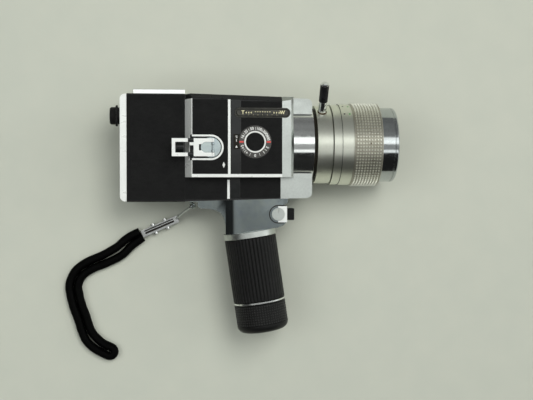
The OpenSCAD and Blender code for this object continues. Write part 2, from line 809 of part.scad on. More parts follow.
// Fork over the hub and the open loop that overhangs the housing
module crank_arm() {
    y = crank_xy[1];
    color("#e9ebe8") place() difference() {
        union() {
            block(57.8, arm_hinge[0] - 0.9, y - 7, y + 7, arm_z, arm_z + arm_t);
            for (side = [-1, 1]) {
                block(40.9, 57.8, y + side * 5.6 - 1.4, y + side * 5.6 + 1.4, arm_z, arm_z + arm_t);
                rod_y(arm_hinge[0], y + side * 5.55 - 1.35, y + side * 5.55 + 1.35, arm_hinge[1], 1.1);
            }
            block(40.9, 43.6, y - 7, y + 7, arm_z, arm_z + arm_t);
        }
        // keyhole that shows the hub
        translate([67.5, y, arm_z - 1]) cylinder(h = 4, r = 4.2);
        block(62, 75, y - 2.4, y + 2.4, arm_z - 1, arm_z + 3);
        block(67.5, 74, y - 4.15, y + 4.15, arm_z - 1, arm_z + 3);
        rod_y(arm_hinge[0], y - 9, y + 9, arm_hinge[1], 0.6 + run_fit);
        rod_y(knob_hinge[0], y - 5.6, y + 5.6, knob_hinge[1], 0.5);
    }
}

// Flat knob that lies in the loop and flips out to be turned
module crank_knob() {
    y = crank_xy[1];
    color("#181a1a") place() {
        intersection() {
            block(44.2, knob_hinge[0] + 1.2, y - 3.8, y + 3.8, arm_z, 70);
            union() {
                rod_x(44.2, knob_hinge[0], y, arm_z - 3, 6);
                rod_y(knob_hinge[0], y - 3.8, y + 3.8, knob_hinge[1], 1.2);
            }
        }
        rod_y(knob_hinge[0], y - 5.5, y + 5.5, knob_hinge[1], 0.45);
    }
}

// ---------- grip ----------

module mount_side() {
    polygon([
        [61.5, 0], [61.5, -4.4], [63.5, -6], [71, -6.4], [76, -7.6], [80, -9.8], [82.6, -13.6],
        [83.8, -19], [84, -34], [126, -30], [126, -21], [130, -19.6], [132.9, -17],
        [132.9, -5.2], [130.8, -2.9], [134, -1.4], [134, low_edge(134)], [taper_x + 40, low_edge(91)]
    ]);
}

// Outline of the chrome mount seen from below: narrow at the eye, round at the neck
module mount_plan() {
    polygon([
        [59, -4], [74, -6], [84, -9.5], [88, -13], [92, -mount_hz], [130, -mount_hz], [133, -13.5],
        [136, -11], [136, 11], [133, 13.5], [130, mount_hz], [92, mount_hz], [88, 13], [84, 9.5],
        [74, 6], [59, 4]
    ]);
}

module grip_mount() {
    color("#cfd3d6") place() {
        difference() {
            intersection() {
                translate([0, 0, axis_z - mount_hz]) linear_extrude(2 * mount_hz) mount_side();
                translate([0, 10, axis_z]) rotate([90, 0, 0]) linear_extrude(60) mount_plan();
            }
            // flat that the grip's collar sits on
            grip_frame() translate([-60, -40, -collar_t]) cube([120, 80, 60]);
            // room for the trigger, its spring and the lock
            block(112, 140, -15.9, -5.8, axis_z - 7.4, axis_z + 7.4);
            translate([lock_xy[0], lock_xy[1], axis_z]) cylinder(h = 20, r = 1.5 + run_fit);
            translate([lock_xy[0], lock_xy[1], axis_z + mount_hz - 0.8]) difference() {
                cylinder(h = 2, r = 7.4);
                translate([0, 0, -eps]) cylinder(h = 3, r = 6.6);
            }
        }
        // eye for the wrist strap
        translate(lug) multmatrix(link_axes()) rotate([90, 0, 0])
            rotate_extrude() translate([link_half_w, 0]) circle(r = wire_r);
        rod_y(lug_post[0], lug[1] + 2, 0, lug_post[1], 1);
        block(54.5, 62, -0.8, 0, axis_z - 2.5, axis_z + 2.5);
    }
}

module trigger() {
    color("#181818") place() {
        block(134.2, 139.9, -15.6, -6.1, axis_z - 7.1, axis_z + 7.1);
        block(120, 134.2, -13, -8.6, axis_z - 4, axis_z + 4);
    }
}

module trigger_spring() {
    color("#a8acae") place() along_x(112, -10.8, axis_z) ring(8, 2.4, 1.6);
}

module trigger_lock() {
    color("#c4c8c6") place() translate([lock_xy[0], lock_xy[1], 0]) difference() {
        union() {
            translate([0, 0, axis_z + mount_hz + 0.3]) cylinder(h = 1.1, r = 5.2);
            translate([0, 0, axis_z + 8]) cylinder(h = 8, r = 1.5);
        }
        translate([-0.5, 1.6, axis_z + mount_hz + 1]) cube([1, 4, 2]);
    }
}

module grip_collar() {
    color("#d4d7d2") place() grip_frame() translate([0, 0, -collar_t]) cylinder(h = collar_t, r = grip_r + 0.3);
}

module grip_sleeve() {
    color("#1c1c1c") place() grip_ring_solid(0, sleeve_l, grip_r, 19.2);
}

module battery_holder() {
    color("#2c2c2e") place() grip_frame() difference() {
        cylinder(h = 44, r = 19.2);
        for (turn = [0:3]) rotate([0, 0, 45 + 90 * turn])
            translate([cell_pitch, 0, 8]) cylinder(h = 40, r = cell_r + 0.15);
    }
}

module batteries() {
    color("#b5892e") place() grip_frame()
        for (turn = [0:3]) rotate([0, 0, 45 + 90 * turn]) translate([cell_pitch, 0, 8]) {
            cylinder(h = 49.5, r = cell_r);
            translate([0, 0, 49.5]) cylinder(h = 1, r = 2.6);
        }
}

module grip_ring() {
    color("#d4d7d2") place() grip_ring_solid(sleeve_l, sleeve_l + 1.4, grip_r + 0.2, 19.2);
}

module battery_cap() {
    round_r = 6;
    top_t = sleeve_l + 1.7;
    color("#151515") place() grip_frame() difference() {
        union() {
            translate([0, 0, top_t]) cylinder(h = grip_l - round_r - top_t, r = grip_r);
            translate([0, 0, grip_l - round_r]) rotate_extrude() {
                square([grip_r - round_r, round_r]);
                intersection() {
                    translate([grip_r - round_r, 0]) circle(r = round_r, $fn = 48);
                    square([grip_r, round_r]);
                }
            }
            translate([0, 0, 46]) cylinder(h = top_t - 46 + 0.1, r = 19.2 - run_fit);
        }
        translate([0, 0, 40]) cylinder(h = 26, r = 17.7);
    }
}

module contact_spring() {
    color("#c0b070") place() grip_frame() difference() {
        union() {
            translate([0, 0, 65]) cylinder(h = 1, r = 17);
            for (turn = [0:3]) rotate([0, 0, 45 + 90 * turn])
                translate([cell_pitch, 0, 58.9]) cylinder(h = 6.1, r1 = 2.4, r2 = 4.4);
        }
        for (turn = [0:3]) rotate([0, 0, 45 + 90 * turn])
            translate([cell_pitch, 0, 58]) cylinder(h = 7, r = 1.5);
    }
}

// ---------- wrist strap ----------

// Axes of the wire link: its length, its width (steep) and its normal
function link_dir() = (link_end - lug) / norm(link_end - lug);
function link_wide() = let (up = [0, 0, 1] - link_dir() * link_dir()[2]) up / norm(up);
function link_axes() = let (a = link_dir(), b = link_wide(), c = cross(a, b))
    [[a[0], b[0], c[0], 0], [a[1], b[1], c[1], 0], [a[2], b[2], c[2], 0], [0, 0, 0, 1]];

module strap_link() {
    link_l = norm(link_end - lug);
    color("#c9cccf") place() translate(lug) multmatrix(link_axes()) {
        for (side = [-1, 1])
            translate([link_half_w, side * link_half_w, 0]) rotate([0, 90, 0])
                cylinder(h = link_l - 2 * link_half_w, r = wire_r);
        for (end = [0, 1]) translate([end ? link_l - link_half_w : link_half_w, 0, 0]) difference() {
            rotate_extrude() translate([link_half_w, 0]) circle(r = wire_r);
            translate([end ? -10 : 0, -5, -5]) cube([10, 10, 10]);
        }
    }
}

// Folded channel that grips the strap ends, with two cross pins and the swivel
// that holds the link
module strap_clip() {
    swivel = link_end - link_dir() * link_half_w;
    neck = [clip_top[0] - 1, clip_top[1] - 0.4, 5] - swivel;
    color("#c6cacc") place() {
        translate([clip_top[0], clip_top[1], 0]) rotate([0, 0, clip_angle]) {
            difference() {
                translate([-1, -2.9, 1]) cube([clip_l + 1, 5.8, 6.4]);
                translate([1, -2.1, 1.8]) cube([clip_l, 4.2, 4.8]);
            }
            for (station = [9.6, 20.4]) translate([station, 0, 4.4]) rotate([90, 0, 0]) {
                translate([0, 0, -4]) cylinder(h = 8, r = 1);
                for (side = [-1, 1]) translate([0, 0, side * 3.75 - 0.85]) cylinder(h = 1.7, r = 1.9);
            }
        }
        translate(swivel) {
            sphere(r = 1.5);
            rotate([0, acos(neck[2] / norm(neck)), atan2(neck[1], neck[0])]) cylinder(h = norm(neck), r = 0.9);
        }
    }
}

// Smooth line through points a to d, between b and c
function spline_point(a, b, c, d, t) =
    0.5 * (2 * b + (c - a) * t + (2 * a - 5 * b + 4 * c - d) * t * t + (3 * b - a - 3 * c + d) * t * t * t);
function line_point(line, station) = let (
        last = len(line) - 1,
        i = min(floor(station), last - 1),
        before = i > 0 ? line[i - 1] : 2 * line[0] - line[1],
        after = i + 2 <= last ? line[i + 2] : 2 * line[last] - line[last - 1]
    ) spline_point(before, line[i], line[i + 1], after, station - i);
function line_side(line, station) = let (
        d = line_point(line, station + 0.01) - line_point(line, station - 0.01)
    ) [-d[1], d[0]] / norm(d);

// One strand out along the line, a round fold and the other strand back
function strap_route(steps) = let (
        last = len(strap_line) - 1,
        start = 1.03,
        out = [for (k = [0:steps]) start + (last - start) * k / steps],
        fold_mid = line_point(strap_line, last),
        fold_side = line_side(strap_line, last),
        fold_dir = [fold_side[1], -fold_side[0]]
    )
    concat(
        [for (s = out) line_point(strap_line, s) + line_side(strap_line, s) * strap_gap / 2],
        [for (turn = [45:45:135])
            fold_mid + (fold_side * cos(turn) + fold_dir * sin(turn)) * strap_gap / 2],
        [for (k = [steps:-1:0])
            line_point(strap_line, out[k]) - line_side(strap_line, out[k]) * strap_gap / 2]
    );

// Round tube swept along a level route
module swept_tube(route, z, r, sides) {
    last = len(route) - 1;
    rings = [for (i = [0:last]) let (
            d = route[min(i + 1, last)] - route[max(i - 1, 0)],
            side = [-d[1], d[0]] / norm(d)
        )
        for (k = [0:sides - 1]) let (a = 360 / sides * k)
            [route[i][0] + side[0] * r * cos(a), route[i][1] + side[1] * r * cos(a), z + r * sin(a)]];
    walls = [for (i = [0:last - 1], k = [0:sides - 1]) let (
            a = i * sides + k,
            b = i * sides + (k + 1) % sides
        )
        [a, b, b + sides, a + sides]];
    start_cap = [[for (k = [0:sides - 1]) sides - 1 - k]];
    end_cap = [[for (k = [0:sides - 1]) last * sides + k]];
    polyhedron(points = rings, faces = concat(start_cap, walls, end_cap));
}

module wrist_strap() {
    color("#0b0b0b") place() swept_tube(strap_route(26), strap_z, strap_d / 2, 10);
}

// ---------- assembly ----------

main_housing();
rear_bezel();
side_housing();
left_housing();
side_trim();
crank_bezel();
band_panel();
leather_coverings();
front_plate();
lens_collar();
accessory_shoe();
tripod_bush();
viewfinder_tube();
diopter_ring();
eyecup();
eyepiece_lens();
finder_prisms();
film_gate();
pulldown_claw();
shutter();
drive_motor();
motor_pinion();
takeup_spindle();
circuit_board();
zoom_motor();
zoom_pinion();
lens_core();
zoom_ring();
zoom_lever();
lever_knob();
index_ring();
focus_ring();
front_ring();
front_element();
zoom_lens();
relay_tube();
film_door();
door_latch();
door_hinge_pin();
rocker_bezel();
zoom_rocker();
exposure_dial();
crank_hub();
crank_arm();
crank_knob();
grip_mount();
trigger();
trigger_spring();
trigger_lock();
grip_collar();
grip_sleeve();
battery_holder();
batteries();
grip_ring();
battery_cap();
contact_spring();
strap_link();
strap_clip();
wrist_strap();
housing_screws();
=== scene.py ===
"""Looks of the Super 8 movie camera: strap, materials, detailed pieces, light and camera."""
import json
import math

import bmesh
import bpy
from mathutils import Matrix, Vector


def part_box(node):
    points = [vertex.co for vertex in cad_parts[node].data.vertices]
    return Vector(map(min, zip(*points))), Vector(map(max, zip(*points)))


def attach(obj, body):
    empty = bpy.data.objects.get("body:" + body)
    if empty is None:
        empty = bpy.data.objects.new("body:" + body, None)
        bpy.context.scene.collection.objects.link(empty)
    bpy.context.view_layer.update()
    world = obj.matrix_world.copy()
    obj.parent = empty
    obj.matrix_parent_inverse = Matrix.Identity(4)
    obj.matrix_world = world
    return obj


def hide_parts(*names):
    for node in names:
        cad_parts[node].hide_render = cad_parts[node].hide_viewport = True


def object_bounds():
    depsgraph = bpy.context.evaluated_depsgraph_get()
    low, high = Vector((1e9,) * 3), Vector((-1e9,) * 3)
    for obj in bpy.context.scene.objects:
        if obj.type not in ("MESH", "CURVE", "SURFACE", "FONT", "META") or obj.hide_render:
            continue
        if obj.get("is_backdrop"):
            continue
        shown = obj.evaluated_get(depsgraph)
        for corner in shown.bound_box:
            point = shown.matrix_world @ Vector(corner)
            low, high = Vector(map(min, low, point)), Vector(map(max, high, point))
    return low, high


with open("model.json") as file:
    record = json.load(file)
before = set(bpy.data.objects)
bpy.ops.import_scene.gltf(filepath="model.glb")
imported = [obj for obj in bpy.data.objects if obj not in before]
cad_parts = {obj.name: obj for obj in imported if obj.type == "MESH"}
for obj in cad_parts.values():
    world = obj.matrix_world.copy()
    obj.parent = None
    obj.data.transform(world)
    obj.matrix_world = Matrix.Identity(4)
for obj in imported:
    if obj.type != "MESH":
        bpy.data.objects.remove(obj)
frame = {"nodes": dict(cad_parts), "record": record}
cad_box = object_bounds()
nodes = frame["nodes"]
MM = 0.001
X = Vector((1, 0, 0))
Y = Vector((0, 1, 0))
Z = Vector((0, 0, 1))


def middle(node):
    """Centre of a CAD node's box."""
    lo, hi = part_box(node)
    return (lo + hi) / 2


LENS = middle("focus_ring")
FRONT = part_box("front_ring")[1].x
DIAL = middle("exposure_dial")
ROCKER = middle("zoom_rocker")
LOCK = middle("trigger_lock")
FINDER = middle("diopter_ring")

# Place of the CAD source's datum in this frame, in millimetres: its front ring ends at station 221.8
# and its lens axis is 46 high
SHIFT = Vector((FRONT / MM - 221.8, LENS.y / MM - 46, 0))

# Radius at which a lathed disc closes on its axis
CENTRE = 0.001 * MM


def at(x, y, z):
    """A place given from the CAD source's datum, in millimetres."""
    return (Vector((x, y, z)) + SHIFT) * MM


def station(x):
    """How far along X a station of the CAD source lies."""
    return at(x, 0, 0).x


# ---------- camera, floor and light ----------


def add_camera():
    """Camera 0.8 m above the floor that looks almost straight down on the right side."""
    eye = Vector((FRONT - 0.1742, LENS.y - 0.029, 0.81066))
    target = Vector((FRONT - 0.104, LENS.y - 0.0454, 0.035))
    back = (eye - target).normalized()
    right = Y.cross(back).normalized()
    turn = Matrix((right, back.cross(right), back)).transposed().to_4x4()
    data = bpy.data.cameras.new("view")
    data.lens = 64.2
    data.sensor_width = 36
    view = bpy.data.objects.new("view", data)
    view.matrix_world = Matrix.Translation(eye) @ turn
    bpy.context.scene.collection.objects.link(view)
    bpy.context.scene.camera = view


def add_floor(material):
    """Floor 0.3 mm below the part, wide enough to fill the low views."""
    width = 16
    height = -0.0003
    bpy.ops.mesh.primitive_plane_add(size=width, location=(0, 0, height))
    floor = bpy.context.object
    floor.name = "floor"
    floor.data.materials.append(material)
    floor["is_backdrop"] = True


def add_light(name, place, power, color):
    """Round soft light aimed at the origin. Metal mirrors the room instead of it."""
    data = bpy.data.lights.new(name, "AREA")
    data.shape = "DISK"
    data.size = 0.9
    data.energy = power
    data.color = color
    light = bpy.data.objects.new(name, data)
    light.location = place
    light.rotation_euler = (-Vector(place)).to_track_quat("-Z", "Y").to_euler()
    light.visible_glossy = False
    bpy.context.scene.collection.objects.link(light)


# Brightness of the room by the direction's share across the lens (Y): two long ceiling lights
CEILING = (
    (-1.0, 0.015), (-0.45, 0.02), (-0.41, 1.3), (-0.31, 1.3), (-0.27, 0.34), (-0.01, 0.36), (0.04, 1.6),
    (0.31, 1.6), (0.38, 0.3), (0.7, 0.22), (1.0, 0.18),
)


def add_world():
    """Room with two long ceiling lights along the lens, uneven walls and a dark rear end."""
    world = bpy.data.worlds.new("room")
    world.use_nodes = True
    bpy.context.scene.world = world
    tree = world.node_tree
    spot = add_node(tree, "TexCoord").outputs["Generated"]
    split = add_node(tree, "SeparateXYZ", {0: spot})
    share = add_node(tree, "MapRange", {"Value": split.outputs["Y"], "From Min": -1.0}).outputs[0]
    rear = add_node(
        tree, "MapRange",
        {"Value": split.outputs["X"], "From Min": -0.85, "From Max": -0.5, "To Min": 0.08},
        interpolation_type="SMOOTHSTEP",
    ).outputs[0]
    ceiling = add_node(tree, "ValToRGB", {"Fac": share})
    ramp = ceiling.color_ramp
    for y, level in CEILING[1:-1]:
        ramp.elements.new((y + 1) / 2)
    for stop, (y, level) in zip(ramp.elements, CEILING):
        stop.position = (y + 1) / 2
        stop.color = (level, level, level, 1)
    clutter = add_node(tree, "TexNoise", {"Vector": spot, "Scale": 2.6, "Detail": 2.0}).outputs["Fac"]
    clutter = add_node(
        tree, "MapRange",
        {"Value": clutter, "From Min": 0.35, "From Max": 0.65, "To Min": 0.8, "To Max": 1.2},
    ).outputs[0]
    level = add_node(
        tree, "Math", {0: ceiling.outputs["Color"], 1: clutter}, operation="MULTIPLY"
    ).outputs[0]
    level = add_node(tree, "Math", {0: level, 1: rear}, operation="MULTIPLY").outputs[0]
    sky = tree.nodes["Background"]
    sky.inputs["Color"].default_value = (0.97, 1.0, 0.98, 1)
    tree.links.new(level, sky.inputs["Strength"])


# ---------- procedural materials ----------


def add_node(tree, kind, inputs=(), **settings):
    """Shader node with its inputs set or linked."""
    made = tree.nodes.new("ShaderNode" + kind)
    for name, value in settings.items():
        setattr(made, name, value)
    for name, value in dict(inputs).items():
        if isinstance(value, bpy.types.NodeSocket):
            tree.links.new(value, made.inputs[name])
        else:
            made.inputs[name].default_value = value
    return made


def pattern(tree, kind, scale, stretch=(1, 1, 1)):
    """Height or mask from 0 to 1: noise, cells (leather grain) or pores."""
    spot = add_node(tree, "TexCoord").outputs["Object"]
    spot = add_node(tree, "Mapping", {"Vector": spot, "Scale": stretch}).outputs[0]
    if kind == "noise":
        return add_node(tree, "TexNoise", {"Vector": spot, "Scale": scale, "Detail": 4.0}).outputs["Fac"]
    if kind == "cells":
        warp = add_node(tree, "TexNoise", {"Vector": spot, "Scale": scale * 0.6, "Detail": 2.0})
        bent = add_node(
            tree, "Mix", {"Factor": 0.0006, "A": spot, "B": warp.outputs["Color"]},
            data_type="VECTOR", clamp_factor=False,
        )
        cell = add_node(
            tree, "TexVoronoi", {"Vector": bent.outputs["Result"], "Scale": scale}, feature="SMOOTH_F1"
        )
        return cell.outputs["Distance"]
    cell = add_node(tree, "TexVoronoi", {"Vector": spot, "Scale": scale}, feature="DISTANCE_TO_EDGE")
    return add_node(tree, "MapRange", {"Value": cell.outputs["Distance"], "From Max": 0.12}).outputs[0]


def rubbed_edges(tree, tone, worn):
    """Mixes the colour of rubbed edges into a tone, where the surface turns within 0.35 mm."""
    edge = add_node(tree, "Bevel", {"Radius": 0.35 * MM}, samples=4).outputs[0]
    flat = add_node(tree, "NewGeometry").outputs["Normal"]
    turn = add_node(tree, "VectorMath", {0: edge, 1: flat}, operation="DOT_PRODUCT").outputs["Value"]
    rub = add_node(tree, "MapRange", {"Value": turn, "From Min": 0.985, "From Max": 0.9}).outputs[0]
    rub = add_node(tree, "Math", {0: rub, 1: pattern(tree, "noise", 240)}, operation="MULTIPLY").outputs[0]
    mixed = add_node(tree, "Mix", {"Factor": rub, "A": tone, "B": (*worn, 1)}, data_type="RGBA")
    return mixed.outputs["Result"]


def finish(name, color, other, roughness, metallic=0.0, patch=45, bumps=(), worn=None, **shader):
    """Material whose colour, roughness and bump all vary over the surface.

    patch is the scale of the patches of color and other, roughness is its least and most, and bumps
    holds (pattern, scale, stretch, height in metres). worn is the colour of rubbed edges.
    """
    made = bpy.data.materials.new(name)
    made.use_nodes = True
    tree = made.node_tree
    surface = tree.nodes["Principled BSDF"]
    broad = pattern(tree, "noise", patch)
    fine = pattern(tree, "noise", patch * 14)
    mask = add_node(tree, "Math", {0: broad, 1: fine}, operation="ADD").outputs[0]
    mask = add_node(tree, "MapRange", {"Value": mask, "From Min": 0.75, "From Max": 1.25}).outputs[0]
    tone = add_node(
        tree, "Mix", {"Factor": mask, "A": (*color, 1), "B": (*other, 1)}, data_type="RGBA"
    ).outputs["Result"]
    if worn:
        tone = rubbed_edges(tree, tone, worn)
    tree.links.new(tone, surface.inputs["Base Color"])
    smear = pattern(tree, "noise", patch * 2.3, (1, 2.2, 1))
    rough = add_node(
        tree, "MapRange",
        {"Value": smear, "From Min": 0.3, "From Max": 0.7, "To Min": roughness[0], "To Max": roughness[1]},
    ).outputs[0]
    tree.links.new(rough, surface.inputs["Roughness"])
    normal = None
    for kind, scale, stretch, height in bumps:
        sockets = {"Height": pattern(tree, kind, scale, stretch), "Distance": height, "Strength": 1.0}
        if normal:
            sockets["Normal"] = normal
        normal = add_node(tree, "Bump", sockets).outputs[0]
    if normal:
        tree.links.new(normal, surface.inputs["Normal"])
    surface.inputs["Metallic"].default_value = metallic
    for socket, value in shader.items():
        surface.inputs[socket.replace("_", " ")].default_value = value
    return made


def ink(name, color):
    """Printed or filled marking."""
    other = tuple(level * 0.82 for level in color)
    return finish(name, color, other, (0.35, 0.5), 0.0, 300, [("noise", 3000, EVEN, 8e-6)])


# How a bump's pattern is stretched: not at all, along the turning marks of a lathe, or along X
EVEN = (1, 1, 1)
TURNED = (1, 0.004, 0.004)
LENGTHWISE = (0.04, 1, 1)

# Every finish, by the name of its material slot or of its own look
FINISHES = {
    "chrome": dict(
        color=(0.86, 0.87, 0.86), other=(0.78, 0.79, 0.78), roughness=(0.05, 0.17), metallic=1.0, patch=60,
        bumps=[("noise", 900, LENGTHWISE, 8e-7), ("noise", 90, EVEN, 6e-6)],
    ),
    "satin_metal": dict(
        color=(0.62, 0.65, 0.62), other=(0.55, 0.575, 0.55), roughness=(0.28, 0.4), metallic=1.0, patch=50,
        bumps=[("noise", 5200, EVEN, 1.6e-6), ("noise", 700, EVEN, 1.5e-6)], worn=(0.8, 0.8, 0.77),
    ),
    "champagne": dict(
        color=(0.85, 0.86, 0.76), other=(0.8, 0.81, 0.71), roughness=(0.36, 0.4), metallic=1.0, patch=40,
        bumps=[("noise", 2600, TURNED, 1.6e-6), ("noise", 5200, EVEN, 8e-7)], worn=(0.82, 0.8, 0.7),
    ),
    "leatherette": dict(
        color=(0.0085, 0.0085, 0.0083), other=(0.0055, 0.0055, 0.0057), roughness=(0.46, 0.62), patch=80,
        bumps=[("cells", 1150, EVEN, 1.1e-4), ("noise", 4200, EVEN, 2.4e-5)], worn=(0.035, 0.034, 0.032),
        Specular_IOR_Level=0.16,
    ),
    "body_paint": dict(
        color=(0.009, 0.009, 0.009), other=(0.011, 0.011, 0.012), roughness=(0.24, 0.38), patch=60,
        bumps=[("noise", 3400, EVEN, 1.2e-5)], worn=(0.16, 0.15, 0.13), Specular_IOR_Level=0.3,
    ),
    "gloss_black": dict(
        color=(0.006, 0.007, 0.007), other=(0.004, 0.005, 0.005), roughness=(0.05, 0.16), patch=70,
        bumps=[("noise", 160, EVEN, 1.4e-5), ("noise", 2600, EVEN, 1.5e-6)], worn=(0.12, 0.12, 0.11),
        Specular_IOR_Level=0.35,
    ),
    "matte_black": dict(
        color=(0.009, 0.009, 0.009), other=(0.006, 0.006, 0.006), roughness=(0.42, 0.6), patch=70,
        bumps=[("noise", 3800, EVEN, 2.6e-5)], worn=(0.05, 0.05, 0.048), Specular_IOR_Level=0.2,
    ),
    "rubber": dict(
        color=(0.006, 0.006, 0.006), other=(0.009, 0.009, 0.0088), roughness=(0.5, 0.72), patch=55,
        bumps=[("noise", 2900, EVEN, 3e-5)], worn=(0.03, 0.03, 0.03), Sheen_Weight=0.03,
        Specular_IOR_Level=0.15,
    ),
    "glass": dict(
        color=(0.62, 0.72, 0.78), other=(0.56, 0.6, 0.74), roughness=(0.01, 0.05), patch=30,
        bumps=[("noise", 60, EVEN, 1e-6)], Transmission_Weight=0.9, IOR=1.6, Coat_Weight=0.4,
    ),
    "brass": dict(
        color=(0.72, 0.53, 0.24), other=(0.6, 0.42, 0.17), roughness=(0.18, 0.34), metallic=1.0, patch=120,
        bumps=[("noise", 2600, TURNED, 1e-5)], worn=(0.85, 0.7, 0.4),
    ),
    "steel": dict(
        color=(0.52, 0.53, 0.53), other=(0.43, 0.44, 0.44), roughness=(0.24, 0.42), metallic=1.0, patch=70,
        bumps=[("noise", 2400, LENGTHWISE, 1.1e-5)], worn=(0.7, 0.7, 0.7),
    ),
    "dial_metal": dict(
        color=(0.105, 0.1, 0.095), other=(0.075, 0.072, 0.068), roughness=(0.3, 0.45), metallic=0.4,
        patch=90, bumps=[("noise", 4200, EVEN, 4e-6)], worn=(0.4, 0.4, 0.38), Specular_IOR_Level=0.3,
    ),
    "board": dict(
        color=(0.03, 0.13, 0.06), other=(0.05, 0.2, 0.09), roughness=(0.28, 0.42), patch=500,
        bumps=[("pores", 900, EVEN, 4e-5)], worn=(0.5, 0.42, 0.2),
    ),
    "strap_leather": dict(
        color=(0.0006, 0.0006, 0.0006), other=(0.0011, 0.0011, 0.001), roughness=(0.34, 0.5), patch=70,
        bumps=[("cells", 1500, EVEN, 7e-5), ("noise", 420, EVEN, 1.6e-4)], Specular_IOR_Level=0.05,
    ),
    "battery_wrap": dict(
        color=(0.6, 0.36, 0.08), other=(0.5, 0.28, 0.06), roughness=(0.16, 0.28), metallic=0.2, patch=40,
        bumps=[("noise", 900, EVEN, 6e-6)], worn=(0.8, 0.7, 0.5), Coat_Weight=0.5,
    ),
    "worn_chrome": dict(
        color=(0.56, 0.585, 0.59), other=(0.46, 0.485, 0.49), roughness=(0.06, 0.16), metallic=1.0,
        patch=60, bumps=[("noise", 900, LENGTHWISE, 8e-7), ("noise", 90, EVEN, 8e-6)],
        worn=(0.3, 0.31, 0.3),
    ),
    # Darkened copy of the focus knurl's metal for the ring under the studs: painted shade in the grooves
    # between them
    "focus_root_shaded_metal": dict(
        color=(0.47, 0.45, 0.38), other=(0.38, 0.36, 0.29), roughness=(0.3, 0.4), metallic=0.8, patch=60,
        bumps=[("noise", 5200, EVEN, 1.2e-6)], worn=(0.86, 0.85, 0.78),
    ),
    "knurl_metal": dict(
        color=(0.88, 0.88, 0.79), other=(0.8, 0.8, 0.71), roughness=(0.26, 0.36), metallic=0.8, patch=60,
        bumps=[("noise", 5200, EVEN, 1.2e-6)],
    ),
    "bright_metal": dict(
        color=(0.86, 0.875, 0.85), other=(0.82, 0.835, 0.81), roughness=(0.26, 0.36), metallic=0.2,
        patch=60, bumps=[("noise", 3400, EVEN, 1.5e-6)],
    ),
    "grip_rubber": dict(
        color=(0.006, 0.006, 0.006), other=(0.0085, 0.0085, 0.0083), roughness=(0.38, 0.5), patch=55,
        bumps=[("noise", 3400, EVEN, 1.2e-5)], worn=(0.03, 0.03, 0.03), Specular_IOR_Level=0.22,
    ),
    "cap_knurl": dict(
        color=(0.022, 0.022, 0.021), other=(0.014, 0.014, 0.0135), roughness=(0.34, 0.46), patch=90,
        bumps=[("noise", 3400, EVEN, 1e-5)], worn=(0.06, 0.06, 0.058), Specular_IOR_Level=0.3,
    ),
    # Chrome darkened and tinted blue-grey and green-grey: partly the metal's own tone, partly a painted dark
    # reflection
    "mount_chrome_dark_reflection": dict(
        color=(0.42, 0.47, 0.45), other=(0.34, 0.39, 0.42), roughness=(0.05, 0.12), metallic=1.0, patch=9,
        bumps=[("noise", 22, EVEN, 1.6e-4)],
    ),
    "frosted_black": dict(
        color=(0.06, 0.058, 0.048), other=(0.018, 0.018, 0.016), roughness=(0.25, 0.4), metallic=0.2,
        patch=260, bumps=[("noise", 1500, EVEN, 1.5e-5)], worn=(0.2, 0.2, 0.17), Specular_IOR_Level=0.4,
    ),
    "old_brass": dict(
        color=(0.12, 0.07, 0.025), other=(0.05, 0.03, 0.015), roughness=(0.4, 0.6), metallic=0.6,
        patch=800, bumps=[("noise", 3000, EVEN, 1e-5)],
    ),
    "seam_black": dict(
        color=(0.008, 0.008, 0.007), other=(0.02, 0.016, 0.01), roughness=(0.4, 0.6), patch=300,
        bumps=[("noise", 3000, EVEN, 4e-6)], Specular_IOR_Level=0.2,
    ),
    "floor": dict(
        color=(0.57, 0.585, 0.505), other=(0.545, 0.565, 0.49), roughness=(0.6, 0.72), patch=3,
        bumps=[("noise", 700, EVEN, 2e-5)],
    ),
}
INKS = {
    "ink_white": (0.82, 0.83, 0.8), "ink_black": (0.03, 0.035, 0.03), "ink_green": (0.12, 0.42, 0.1),
    "ink_red": (0.72, 0.08, 0.07), "ink_gold": (0.8, 0.74, 0.46),
}

# Nodes whose look differs from the rest of their material slot
OWN_LOOKS = {
    "zoom_rocker": "frosted_black", "rocker_bezel": "frosted_black", "crank_arm": "bright_metal",
    "side_trim": "bright_metal", "crank_bezel": "bright_metal", "rear_bezel": "bright_metal",
    "accessory_shoe": "chrome", "front_ring": "worn_chrome", "strap_link": "worn_chrome",
    "grip_mount": "mount_chrome_dark_reflection", "crank_hub": "mount_chrome_dark_reflection",
}

# Width of the rounding on each CAD node's edges, in millimetres
SOFT_EDGES = {
    "main_housing": 0.4, "rear_bezel": 0.7, "side_housing": 0.35, "left_housing": 0.6, "side_trim": 0.14,
    "crank_bezel": 0.3, "band_panel": 0.08, "leather_coverings": 0.12, "front_plate": 0.6,
    "lens_collar": 0.25, "accessory_shoe": 0.3, "eyecup": 0.3, "rocker_bezel": 0.2, "zoom_rocker": 0.4,
    "trigger": 0.5, "trigger_lock": 0.2, "grip_collar": 0.4, "grip_ring": 0.3, "strap_clip": 0.3,
    "crank_arm": 0.25, "crank_knob": 0.3, "crank_hub": 0.15, "zoom_ring": 0.2, "index_ring": 0.18,
    "front_ring": 0.22, "film_door": 0.4, "door_latch": 0.2, "grip_mount": 0.9,
}


def paint_cad_nodes():
    """Gives each CAD node its finish."""
    for part in frame["record"]["subparts"]:
        node = nodes[part["node"]]
        look = OWN_LOOKS.get(part["node"], part["material_slot"])
        node.data.materials.clear()
        node.data.materials.append(materials[look])


